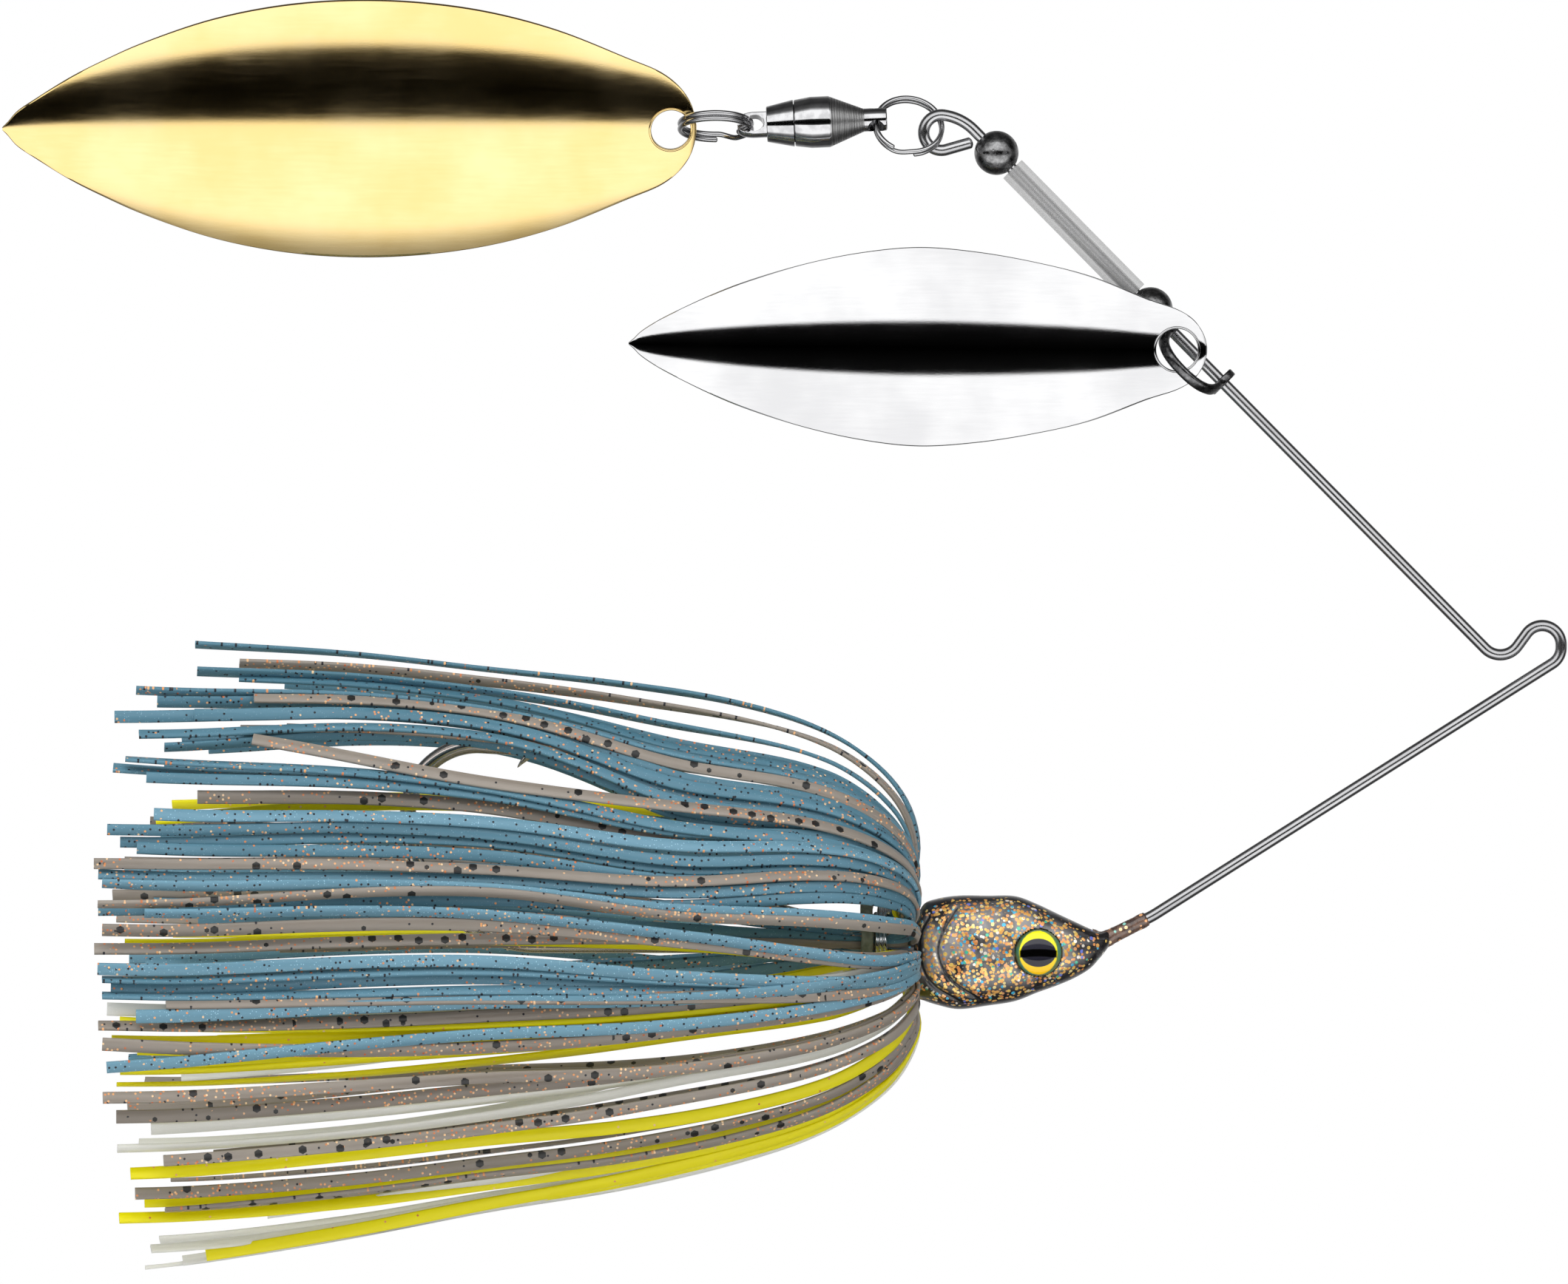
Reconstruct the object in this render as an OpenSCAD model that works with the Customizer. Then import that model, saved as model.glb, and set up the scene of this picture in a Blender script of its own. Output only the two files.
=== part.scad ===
// Double-willow spinnerbait: wire arm, lead head, hook and silicone skirt,
// with one blade on a clevis and one on a ball-bearing swivel.
// Millimetres. +X towards the line tie, +Z towards the hook point, origin at the line tie.
// The wire arm, the hook and the head all lie in the plane Y = 0.

/* [Wire arm] */
// Diameter of the arm wire
wire_d = 1.0; // [0.8:0.05:1.05]
// Rise of the upper arm above the horizontal, in degrees
arm_rise = 45.4; // [44.5:0.1:46]
// Length of the sleeve that spaces the two beads
sleeve_len = 15.0; // [12:0.1:15]
// Outside diameter of the sleeve
sleeve_od = 2.25; // [1.9:0.05:2.6]
// Diameter of both beads
bead_d = 3.8; // [3.4:0.1:3.8]

/* [Blades] */
// Length of the rear, gold blade
gold_len = 59.6; // [54:0.1:60]
// Width of the rear, gold blade
gold_w = 22.4; // [18:0.1:23]
// Length of the front, silver blade
silver_len = 49.6; // [45:0.1:50]
// Width of the front, silver blade
silver_w = 17.1; // [15:0.1:17.5]
// Thickness of the blade sheet
blade_t = 0.6; // [0.5:0.05:0.65]
// How deep the gold blade is cupped
gold_cup = 2.4; // [1:0.1:2.6]
// How deep the silver blade is cupped
silver_cup = 1.9; // [1:0.1:2]

/* [Head and hook] */
// Diameter of the hook wire
hook_d = 1.4; // [1.2:0.05:1.5]
// Half width of the head across its widest place
head_half = 3.85; // [3.6:0.05:4.2]
// Diameter of each eye
eye_d = 4.0; // [3.6:0.1:4.1]

/* [Skirt] */
// How thick the layer of strands is taken to be
skirt_t = 0.8; // [0.5:0.1:1]
// Width of the flared skirt compared with its height
skirt_flat = 0.85; // [0.7:0.05:1]

/* [Swivel and rings] */
// Largest diameter of the swivel barrel
barrel_d = 4.4; // [4.2:0.05:4.6]
// Number of bearing balls
ball_count = 8; // [6:1:8]
// Wire thickness of the split rings, measured across the ring
ring_wire = 0.45; // [0.35:0.01:0.46]

/* [Hidden] */
$fn = 48;

wr = wire_d / 2;
run = 0.06;                       // running clearance on the wire, per side

// ---- the upper arm: a line, with places along it given by s, and n square to it ----
A = 180 - arm_rise;
d = [cos(A), sin(A)];
n = [sin(arm_rise), cos(arm_rise)];
q = -3.72;
function arm(s, k = 0) = s * d + (q + k) * n;

// ---- the wire as a run of lines and arcs: ["L", length] or ["A", radius, turn] ----
function left(h) = [-sin(h), cos(h)];
function dirv(h) = [cos(h), sin(h)];
function move(st, g) =
    g[0] == "L" ? [st[0] + g[1] * dirv(st[1]), st[1]]
    : let (sg = g[2] > 0 ? 1 : -1, c = st[0] + sg * g[1] * left(st[1]), h = st[1] + g[2])
      [c - sg * g[1] * left(h), h];
function after(st, path, i) = i == 0 ? st : move(after(st, path, i - 1), path[i - 1]);

r1 = 1.83;                        // radius of the dip beside the line tie
r2 = 1.63;                        // radius of the line tie itself
C1 = arm(3.2, r1);
D12 = -C1;
L12 = sqrt(D12 * D12 - (r1 + r2) * (r1 + r2));
h12 = atan2(D12[1], D12[0]) + atan2(r1 + r2, L12);
start_s = 3.2;
path_down = [["A", r1, h12 + arm_rise], ["L", L12], ["A", r2, -(h12 + 90)], ["L", 0.255],
             ["A", r2, -57.75], ["L", 40.2], ["A", 8, -5.75], ["L", 3.9],
             ["A", 2, -26.5], ["L", 4.5], ["A", 0.8, 90], ["L", 1.3]];
path_up = [["L", 62.5], ["A", 4.45, 38.1], ["A", 1.52, 203.3], ["L", 2.1]];
down0 = [arm(start_s), -arm_rise];
up0 = [arm(start_s), A];

// centre of the small loop at the top of the arm
up2 = after(up0, path_up, 2);
loop_c = up2[0] + 1.52 * left(up2[1]);

module rod(a, b, r) {
    v = b - a;
    translate([a[0], 0, a[1]]) rotate([0, atan2(v[0], v[1]), 0]) cylinder(h = norm(v), r = r);
}
// stations along a path: place, heading and radius, with a station every 12 degrees of an arc
function arc_steps(g) = max(1, ceil(abs(g[2]) / 12));
function part_of(g, f) = g[0] == "L" ? ["L", g[1] * f] : ["A", g[1], g[2] * f];
function stations(st, path, r) = concat([[st[0], st[1], r]],
    [for (i = [0 : len(path) - 1]) let (g = path[i], m = g[0] == "L" ? 1 : arc_steps(g), b = after(st, path, i))
        for (k = [1 : m]) let (e = move(b, part_of(g, k / m))) [e[0], e[1], r]]);
// a round bar through the stations, closed flat at both ends
module sweep(S, N = 16) {
    M = len(S);
    pts = concat(
        [for (t = S) for (j = [0 : N - 1]) let (f = 360 * j / N, u = left(t[1]), c = t[2] * cos(f))
            [t[0][0] + c * u[0], t[2] * sin(f), t[0][1] + c * u[1]]],
        [[S[0][0][0], 0, S[0][0][1]], [S[M - 1][0][0], 0, S[M - 1][0][1]]]);
    faces = concat(
        [for (i = [0 : M - 2]) for (j = [0 : N - 1]) let (k = (j + 1) % N)
            [i * N + j, (i + 1) * N + k, (i + 1) * N + j]],
        [for (i = [0 : M - 2]) for (j = [0 : N - 1]) let (k = (j + 1) % N)
            [i * N + j, i * N + k, (i + 1) * N + k]],
        [for (j = [0 : N - 1]) [M * N, (j + 1) % N, j]],
        [for (j = [0 : N - 1]) [M * N + 1, (M - 1) * N + j, (M - 1) * N + (j + 1) % N]]);
    polyhedron(points = pts, faces = faces, convexity = 10);
}
module on_arm(s) {
    p = arm(s);
    translate([p[0], 0, p[1]]) rotate([0, atan2(d[0], d[1]), 0]) children();
}

function turned(S) = [for (i = [len(S) - 1 : -1 : 1]) [S[i][0], S[i][1] + 180, S[i][2]]];
module wire_frame() {
    color([0.62, 0.62, 0.63])
        sweep(concat(turned(stations(up0, path_up, wr)), stations(down0, path_down, wr)));
}

// ---- head ----
// place along the head, top, bottom and half width, from the rear to the nose
head_st = [[-53.9, -24.8, -28.8, 1.8], [-53.6, -23.2, -30.3, 2.7], [-53.0, -22.2, -30.6, 3.2],
           [-51.9, -21.8, -30.95, 3.6], [-50.2, -21.55, -31.3, 3.8], [-47.6, -21.55, -31.0, 3.85],
           [-45.2, -21.6, -30.6, 3.7], [-43.4, -22.25, -29.9, 3.45], [-41.6, -23.1, -29.25, 3.1],
           [-40.1, -23.8, -28.6, 2.65], [-38.8, -24.4, -27.8, 2.1], [-38.0, -24.7, -26.95, 1.6],
           [-37.4, -24.6, -26.2, 1.0], [-37.1, -24.6, -25.7, 0.6]];
function spow(v, p) = v < 0 ? -pow(-v, p) : pow(v, p);
module loft_head(N = 32) {
    M = len(head_st);
    pts = concat(
        [for (s = head_st) for (j = [0 : N - 1])
            let (f = 360 * j / N, k = s[3] * head_half / 3.85)
            [s[0], k * spow(cos(f), 0.85), (s[1] + s[2]) / 2 + (s[1] - s[2]) / 2 * spow(sin(f), 0.85)]],
        [[head_st[0][0], 0, (head_st[0][1] + head_st[0][2]) / 2],
         [head_st[M - 1][0], 0, (head_st[M - 1][1] + head_st[M - 1][2]) / 2]]);
    faces = concat(
        [for (i = [0 : M - 2]) for (j = [0 : N - 1]) let (k = (j + 1) % N)
            [i * N + j, (i + 1) * N + j, (i + 1) * N + k]],
        [for (i = [0 : M - 2]) for (j = [0 : N - 1]) let (k = (j + 1) % N)
            [i * N + j, (i + 1) * N + k, i * N + k]],
        [for (j = [0 : N - 1]) [M * N, j, (j + 1) % N]],
        [for (j = [0 : N - 1]) [M * N + 1, (M - 1) * N + (j + 1) % N, (M - 1) * N + j]]);
    polyhedron(points = pts, faces = faces);
}
shank_z = -25.8;                  // height of the hook shank and of the skirt's seat
eye_x = -43.3;
eye_z = -26.4;
eye_in = 2.7;                     // how far from the middle plane the eye's pocket starts
module along_x(x0, x1, z, r) { translate([x0, 0, z]) rotate([0, 90, 0]) cylinder(h = x1 - x0, r = r); }

module head() {
    nose = after(down0, path_down, 7);
    color([0.23, 0.2, 0.2]) difference() {
        union() {
            loft_head();
            along_x(-60.2, -53, shank_z, 1.5);
            rod(nose[0] + 0.4 * dirv(nose[1]), nose[0] + 4.3 * dirv(nose[1]), 0.68);
        }
        for (m = [-1, 1]) translate([eye_x, m * (eye_in + 2), eye_z]) rotate([90, 0, 0])
            cylinder(h = 4, r = eye_d / 2 + 0.06, center = true);
    }
}
module iris(m) {
    translate([eye_x, m * (eye_in + 0.15), eye_z]) rotate([90, 0, 0])
        cylinder(h = 0.22, r = eye_d / 2, center = true);
}
module lens(m) {
    cap = 0.75;
    b = eye_d / 2;
    R = (b * b + cap * cap) / (2 * cap);
    y0 = eye_in + 0.28;
    translate([eye_x, m * y0, eye_z]) rotate([m > 0 ? -90 : 90, 0, 0]) intersection() {
        translate([0, 0, cap - R]) sphere(R);
        cylinder(h = 2, r = b + 1);
    }
}
module eye_iris_near() { color([0.93, 0.85, 0.08]) iris(-1); }
module eye_iris_far() { color([0.93, 0.85, 0.08]) iris(1); }
module eye_lens_near() { color([0.8, 0.85, 0.8]) lens(-1); }
module eye_lens_far() { color([0.8, 0.85, 0.8]) lens(1); }

// ---- hook ----
hr = hook_d / 2;
// from the eye inside the head, along the shank, round the bend and up the spear
hook0 = [[-45.0, shank_z - 0.62], 180 - 6.4];
hook_path = [["L", 5.5], ["A", 3, 6.4], ["L", 35.4], ["A", 11.18, -90], ["A", 5.97, -93.4], ["L", 3.9]];
module hook() {
    S = stations(hook0, hook_path, hr);
    e = S[len(S) - 1];
    h = dirv(e[1]);
    point = [for (t = [[2.2, 0.86], [4.2, 0.52], [5.6, 0.22], [6.4, 0.05]]) [e[0] + t[0] * h, e[1], hr * t[1]]];
    color([0.75, 0.72, 0.7]) union() {
        sweep(concat(S, point));
        // the barb
        translate([e[0][0] + 0.5 * h[0], 0, e[0][1] - 0.45])
            rotate([0, -126, 0]) cylinder(h = 2.0, r1 = 0.42, r2 = 0.04);
        // the eye that the wire passes through inside the head
        translate([-43.5, 0, -26.6]) rotate_extrude() translate([1.5, 0]) circle(0.6);
    }
}

// ---- skirt ----
module skirt_band() {
    color([0.4, 0.42, 0.36]) difference() {
        along_x(-58.5, -57.45, shank_z, 4.1);
        along_x(-59, -57, shank_z, 3.14);
    }
}
module skirt_tie_wire() {
    color([0.85, 0.85, 0.85]) for (x = [-57.15, -56.65, -56.15])
        translate([x, 0, shank_z]) rotate([0, 90, 0])
            rotate_extrude() translate([3.36, 0]) circle(0.21);
}
// the strands' layer: place along the skirt, radius, and how far its centre lies above the shank
skirt_out = [[-54.6, 1.66, 0], [-54.5, 3.0, 0], [-54.4, 4.6, 0.1], [-53.7, 6.2, 0.3],
             [-53.2, 8.0, 0.6], [-53.9, 10.6, 1.0], [-55.6, 13.3, 1.1], [-58.9, 16.1, 1.2],
             [-63.1, 18.2, 1.2], [-69.7, 20.2, 1.1], [-79.1, 22.0, 0.8], [-90.8, 23.6, 0.5],
             [-102.6, 25.4, 0], [-115.7, 26.9, -0.7], [-123.6, 27.6, -0.9]];
function inward(i) =
    let (a = skirt_out[i - 1], b = skirt_out[min(i + 1, len(skirt_out) - 1)],
         t = [b[0] - a[0], b[1] - a[1]], u = t / norm(t))
    [skirt_out[i][0] - skirt_t * u[1] * (i == len(skirt_out) - 1 ? 0 : 1),
     skirt_out[i][1] + skirt_t * u[0], skirt_out[i][2]];
// the same number of places on the inner face, from the seat outwards
skirt_in = concat([[-60.0, 1.66, 0], [-60.0, 3.1, 0], [-55.7, 3.1, 0]],
    [for (i = [3 : len(skirt_out) - 1]) inward(i)]);
skirt_loop = concat(skirt_out, [for (i = [len(skirt_in) - 1 : -1 : 0]) skirt_in[i]]);
function flat(r) = r < 5 ? 1 : 1 - (1 - skirt_flat) * min(1, (r - 5) / 6);
module skirt_sector(a0, a1, step = 10) {
    P = skirt_loop;
    K = len(P);
    S = max(2, round((a1 - a0) / step));
    pts = [for (i = [0 : S]) for (p = P) let (f = a0 + (a1 - a0) * i / S)
           [p[0], p[1] * flat(p[1]) * cos(f), shank_z + p[2] + p[1] * sin(f)]];
    faces = concat(
        [for (i = [0 : S - 1]) for (j = [0 : K - 1]) let (k = (j + 1) % K)
            [i * K + j, (i + 1) * K + k, i * K + k]],
        [for (i = [0 : S - 1]) for (j = [0 : K - 1]) let (k = (j + 1) % K)
            [i * K + j, (i + 1) * K + j, (i + 1) * K + k]],
        [for (e = [0, S]) for (j = [0 : K / 2 - 2]) for (h = [0, 1])
            let (b = e * K, t = h == 0 ? [b + j, b + j + 1, b + K - 2 - j] : [b + j, b + K - 2 - j, b + K - 1 - j])
            e == 0 ? t : [t[2], t[1], t[0]]]);
    polyhedron(points = pts, faces = faces, convexity = 6);
}
module skirt_blue() { color([0.36, 0.56, 0.67]) skirt_sector(31, 149); }
module skirt_smoke() { color([0.5, 0.47, 0.43]) { skirt_sector(-24, 29); skirt_sector(151, 204); } }
module skirt_chartreuse() { color([0.88, 0.82, 0.05]) { skirt_sector(-62, -26); skirt_sector(206, 242); } }
module skirt_pearl() { color([0.87, 0.87, 0.85]) skirt_sector(244, 296); }

// ---- what rides on the upper arm ----
low_s = 44.1;
top_s = 62.95;
module bead(s) {
    on_arm(s) difference() {
        sphere(bead_d / 2);
        cylinder(h = bead_d + 2, r = wr + run, center = true);
    }
}
module upper_bead() { color([0.27, 0.27, 0.28]) bead(top_s); }
module lower_bead() { color([0.27, 0.27, 0.28]) bead(low_s); }
module spacer_sleeve() {
    color([0.72, 0.73, 0.73]) on_arm(46.0) difference() {
        cylinder(h = sleeve_len, r = sleeve_od / 2);
        translate([0, 0, -1]) cylinder(h = sleeve_len + 2, r = wr + 0.1);
    }
}
clevis_s = 38.45;
clevis_turn = -115;
clevis_R = 3.1;
module clevis() {
    color([0.3, 0.3, 0.3]) on_arm(clevis_s) rotate([0, 0, clevis_turn]) difference() {
        union() {
            for (m = [-1, 1]) translate([0, 0, m * clevis_R]) cylinder(h = 0.8, r = 1.3, center = true);
            for (m = [-1, 1]) translate([0.95, 0, m * clevis_R]) rotate([0, 90, 0]) cylinder(h = 0.55, r = 0.45);
            translate([1.5, 0, 0]) rotate([90, 0, 0]) rotate([0, 0, -90])
                rotate_extrude(angle = 180) translate([clevis_R, 0]) circle(0.45);
        }
        cylinder(h = 10, r = wr + run, center = true);
    }
}

// ---- blades ----
// share of the length from the tip, and share of the half width there
gold_shape = [[0, 0.03], [0.02, 0.13], [0.05, 0.24], [0.1, 0.405], [0.15, 0.54], [0.2, 0.66],
              [0.3, 0.845], [0.4, 0.955], [0.5, 0.998], [0.6, 0.982], [0.7, 0.908], [0.8, 0.765],
              [0.9, 0.55], [0.95, 0.435], [0.975, 0.33], [0.99, 0.22], [1, 0.1]];
silver_shape = [[0, 0.03], [0.02, 0.12], [0.05, 0.235], [0.1, 0.385], [0.15, 0.52], [0.2, 0.635],
                [0.3, 0.815], [0.4, 0.94], [0.5, 1], [0.6, 0.96], [0.7, 0.865], [0.8, 0.725],
                [0.9, 0.5], [0.95, 0.4], [0.975, 0.31], [0.99, 0.2], [1, 0.1]];
// blade with its hole at the origin, its tip towards -X and its bulge towards -Y
module blade(shape, L, W, cup, hole_from_end, hole_r, N = 10) {
    M = len(shape);
    ring = 2 * (N + 1);
    pts = [for (s = shape) for (side = [0, 1]) for (j = [0 : N])
           let (hw = s[1] * W / 2,
                z = (side == 0 ? 1 - 2 * j / N : 2 * j / N - 1) * hw,
                y = -cup * pow(2 * hw / W, 1.35) * (1 - z * z / (hw * hw)))
           [(s[0] - 1) * L + hole_from_end, y + (side == 0 ? -1 : 1) * blade_t / 2, z]];
    faces = concat(
        [for (i = [0 : M - 2]) for (j = [0 : ring - 1]) let (k = (j + 1) % ring)
            [i * ring + j, (i + 1) * ring + k, i * ring + k]],
        [for (i = [0 : M - 2]) for (j = [0 : ring - 1]) let (k = (j + 1) % ring)
            [i * ring + j, (i + 1) * ring + j, (i + 1) * ring + k]],
        [for (j = [0 : N - 1]) [j, j + 1, ring - 2 - j]],
        [for (j = [0 : N - 1]) [j, ring - 2 - j, ring - 1 - j]],
        [for (j = [0 : N - 1]) let (b = (M - 1) * ring) [b + j, b + ring - 2 - j, b + j + 1]],
        [for (j = [0 : N - 1]) let (b = (M - 1) * ring) [b + j, b + ring - 1 - j, b + ring - 2 - j]]);
    difference() {
        polyhedron(points = pts, faces = faces, convexity = 4);
        rotate([90, 0, 0]) cylinder(h = 12, r = hole_r, center = true);
    }
}
silver_c = arm(40.05, -0.9);
silver_y = -2.7;
module silver_blade() {
    color([0.9, 0.9, 0.9]) translate([silver_c[0], silver_y, silver_c[1]]) rotate([0, 0.66, 0])
        blade(silver_shape, silver_len, silver_w, silver_cup, 2.6, 1.8);
}
gold_c = [-74.8, 44.3];
gold_roll = 10;                   // how far the blade hangs rolled about its length
module gold_blade() {
    color([0.9, 0.75, 0.35]) translate([gold_c[0], 0, gold_c[1]]) rotate([gold_roll, 0, 0])
        blade(gold_shape, gold_len, gold_w, gold_cup, 2.2, 1.7);
}

// ---- swivel and rings ----
hole_c = [-57.2, 45.07];          // the swivel's front eye
swivel_rise = 2.5;
ring_v = loop_c - hole_c;
ring_R = norm(ring_v) / 2;
ring_mid = (loop_c + hole_c) / 2;
ring_lean = 36;
module arm_ring() {
    w = ring_wire - 0.03;
    color([0.55, 0.55, 0.55]) translate([ring_mid[0], 0, ring_mid[1]])
        rotate([0, -atan2(ring_v[1], ring_v[0]), 0]) rotate([90 - ring_lean, 0, 0])
            rotate_extrude() translate([ring_R, 0]) square([w, 0.64], center = true);
}
eye_turn = 16;                    // how far the swivel's rear eye, and the split ring in it, are turned
// swivel parts are drawn along +Z from the front eye, then laid along the swivel
module swivel() {
    translate([hole_c[0], 0, hole_c[1]]) rotate([0, -90 - swivel_rise, 0]) children();
}
br = barrel_d / 2;
module swivel_barrel() {
    color([0.5, 0.5, 0.5]) swivel() difference() {
        union() {
            translate([0, 0, -0.95]) cylinder(h = 2.2, r = 1.0);
            translate([0, 0, 1.0]) cylinder(h = 2.94, r1 = 0.95, r2 = br - 0.02);
            translate([0, 0, 3.94]) cylinder(h = 1.6, r = br);
            translate([0, 0, 5.54]) cylinder(h = 1.46, r1 = br, r2 = 2.0);
        }
        translate([0, 0, 4.2]) cylinder(h = 4, r = 1.65);
        // the front eye, along the arm ring's own wire
        rotate([0, 0, ring_lean]) rotate([0, 90, 0]) cylinder(h = 4, r = 0.8, center = true);
    }
}
module swivel_cap() {
    color([0.5, 0.5, 0.5]) swivel() difference() {
        union() {
            translate([0, 0, 7.02]) cylinder(h = 2.38, r1 = 1.98, r2 = 1.45);
            translate([0, 0, 6.08]) cylinder(h = 1.2, r = 1.63);
        }
        translate([0, 0, 6]) cylinder(h = 4, r = 0.83);
        translate([0, 0, 8.5]) cylinder(h = 2, r = 1.22);
    }
}
module swivel_post() {
    color([0.45, 0.45, 0.45]) swivel() rotate([0, 0, eye_turn]) difference() {
        union() {
            translate([0, 0, 4.64]) cylinder(h = 0.6, r = 1.55);
            translate([0, 0, 4.8]) cylinder(h = 4.2, r = 0.75);
            intersection() {
                translate([0, 0, 8.6]) cylinder(h = 3.3, r = 1.12);
                translate([-2, -0.6, 8]) cube([4, 1.2, 5]);
            }
        }
        translate([0, 0, 10.4]) rotate([90, 0, 0]) cylinder(h = 4, r = 0.85, center = true);
    }
}
module bearing_balls() {
    color([0.8, 0.8, 0.8]) swivel() for (i = [0 : ball_count - 1]) rotate([0, 0, 360 * i / ball_count])
        translate([1.18, 0, 5.66]) sphere(0.39);
}
split_c = [-70.95, 44.5];
split_R = 3.05;
module split_ring() {
    color([0.55, 0.55, 0.55]) translate([split_c[0], 0, split_c[1]]) rotate([-eye_turn, 0, 0])
        rotate_extrude() translate([split_R, 0]) square([ring_wire, 0.9], center = true);
}

wire_frame();
head();
hook();
eye_iris_near();
eye_iris_far();
eye_lens_near();
eye_lens_far();
skirt_band();
skirt_tie_wire();
skirt_blue();
skirt_smoke();
skirt_chartreuse();
skirt_pearl();
spacer_sleeve();
upper_bead();
lower_bead();
clevis();
silver_blade();
arm_ring();
swivel_barrel();
swivel_cap();
swivel_post();
bearing_balls();
split_ring();
gold_blade();
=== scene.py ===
import bpy
import math
import random
import numpy as np
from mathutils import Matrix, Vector


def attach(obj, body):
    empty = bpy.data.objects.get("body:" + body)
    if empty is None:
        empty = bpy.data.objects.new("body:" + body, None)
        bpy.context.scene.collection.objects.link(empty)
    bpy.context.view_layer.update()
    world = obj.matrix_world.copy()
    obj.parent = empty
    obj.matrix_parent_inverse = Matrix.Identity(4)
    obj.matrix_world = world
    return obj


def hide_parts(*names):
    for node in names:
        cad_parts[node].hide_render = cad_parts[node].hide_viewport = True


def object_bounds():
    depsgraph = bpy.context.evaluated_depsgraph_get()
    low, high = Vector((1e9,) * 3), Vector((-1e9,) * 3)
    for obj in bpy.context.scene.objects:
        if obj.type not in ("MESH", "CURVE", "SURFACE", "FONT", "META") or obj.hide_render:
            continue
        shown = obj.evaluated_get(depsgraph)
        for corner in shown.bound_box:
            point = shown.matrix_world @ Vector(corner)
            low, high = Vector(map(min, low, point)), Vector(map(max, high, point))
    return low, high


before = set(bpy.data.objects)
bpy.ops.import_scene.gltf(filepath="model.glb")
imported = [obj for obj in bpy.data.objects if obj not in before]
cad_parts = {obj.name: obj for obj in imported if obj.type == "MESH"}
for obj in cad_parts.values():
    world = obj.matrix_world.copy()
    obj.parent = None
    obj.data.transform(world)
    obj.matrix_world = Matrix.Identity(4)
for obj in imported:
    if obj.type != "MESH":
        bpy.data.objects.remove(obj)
cad_lo, cad_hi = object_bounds()
scene = bpy.context.scene
MM = 0.001


# ------------------------------------------------------------------ mesh tools
def unit(v):
    v = np.asarray(v, float)
    n = np.linalg.norm(v, axis=-1, keepdims=True)
    return v / np.where(n < 1e-12, 1, n)


class Build:
    """Gathers shells of vertices in mm, with each point's own place and tint, into one mesh."""

    def __init__(self):
        self.v, self.f, self.own, self.tint, self.n = [], [], [], [], 0

    def add(self, v, f, own=None, tint=0.5):
        v = np.asarray(v, float).reshape(-1, 3)
        self.v.append(v)
        self.own.append(v if own is None else np.asarray(own, float).reshape(-1, 3))
        self.tint.append(np.full(len(v), tint) if np.isscalar(tint) else np.asarray(tint, float))
        self.f.extend([[i + self.n for i in q] for q in f])
        self.n += len(v)
        return self

    def make(self, name, mat, angle=38):
        me = bpy.data.meshes.new(name)
        v = np.concatenate(self.v)
        me.from_pydata((v * MM).tolist(), [], self.f)
        me.update()
        a = me.attributes.new("own", "FLOAT_VECTOR", "POINT")
        a.data.foreach_set("vector", np.concatenate(self.own).astype(np.float32).ravel())
        t = me.attributes.new("tint", "FLOAT", "POINT")
        t.data.foreach_set("value", np.concatenate(self.tint).astype(np.float32))
        me.polygons.foreach_set("use_smooth", [True] * len(me.polygons))
        me.set_sharp_from_angle(angle=math.radians(angle))
        me.materials.append(mat.m)
        ob = bpy.data.objects.new(name, me)
        scene.collection.objects.link(ob)
        return ob


def sweep(P, sect, side, closed=False, seed=0.0):
    """A section (k,2) or (n,k,2) carried along P (n,3). side is the direction of the section's second axis."""
    P = np.asarray(P, float)
    n = len(P)
    sect = np.asarray(sect, float)
    if sect.ndim == 2:
        sect = np.repeat(sect[None], n, 0)
    k = sect.shape[1]
    if closed:
        T = unit(np.roll(P, -1, 0) - np.roll(P, 1, 0))
    else:
        T = unit(np.gradient(P, axis=0))
    S = np.asarray(side, float)
    if S.ndim == 1:
        S = np.repeat(S[None], n, 0)
    B = unit(S - (S * T).sum(1, keepdims=True) * T)
    N = np.cross(B, T)
    V = P[:, None] + sect[:, :, :1] * N[:, None] + sect[:, :, 1:] * B[:, None]
    step = np.linalg.norm(np.diff(P, axis=0), axis=1)
    s = np.concatenate([[0], np.cumsum(step)])
    own = np.concatenate([np.repeat((s + seed)[:, None, None], k, 1), sect], 2)
    F = []
    for i in range(n if closed else n - 1):
        a, b = i * k, ((i + 1) % n) * k
        for j in range(k):
            m = (j + 1) % k
            F.append([a + j, a + m, b + m, b + j])
    if not closed:
        F.append([j for j in range(k)][::-1])
        F.append([(n - 1) * k + j for j in range(k)])
    return V.reshape(-1, 3), F, own.reshape(-1, 3)


def circle(r, N=24, ry=None):
    a = np.arange(N) * 2 * math.pi / N
    return np.stack([r * np.cos(a), (ry or r) * np.sin(a)], 1)


def rounded_bar(P, r, N, side, round_ends=True):
    """A round bar along P with domed or flat ends."""
    P = np.asarray(P, float)
    r = np.full(len(P), r) if np.isscalar(r) else np.asarray(r, float)
    if round_ends:
        t0, t1 = unit(P[0] - P[1]), unit(P[-1] - P[-2])
        e = [(0.55, 0.02), (0.5, 0.42), (0.35, 0.72), (0.15, 0.94)]
        head = [P[0] + t0 * r[0] * a * 1.0 for a, b in e]
        tail = [P[-1] + t1 * r[-1] * a * 1.0 for a, b in reversed(e)]
        P = np.concatenate([head, P, tail])
        side = np.asarray(side, float)
        if side.ndim == 2:
            side = np.concatenate([np.repeat(side[:1], 4, 0), side, np.repeat(side[-1:], 4, 0)])
        r = np.concatenate([[b * r[0] for a, b in e], r, [b * r[-1] for a, b in reversed(e)]])
    sect = np.stack([circle(q, N) for q in r])
    return sweep(P, sect, side)


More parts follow.
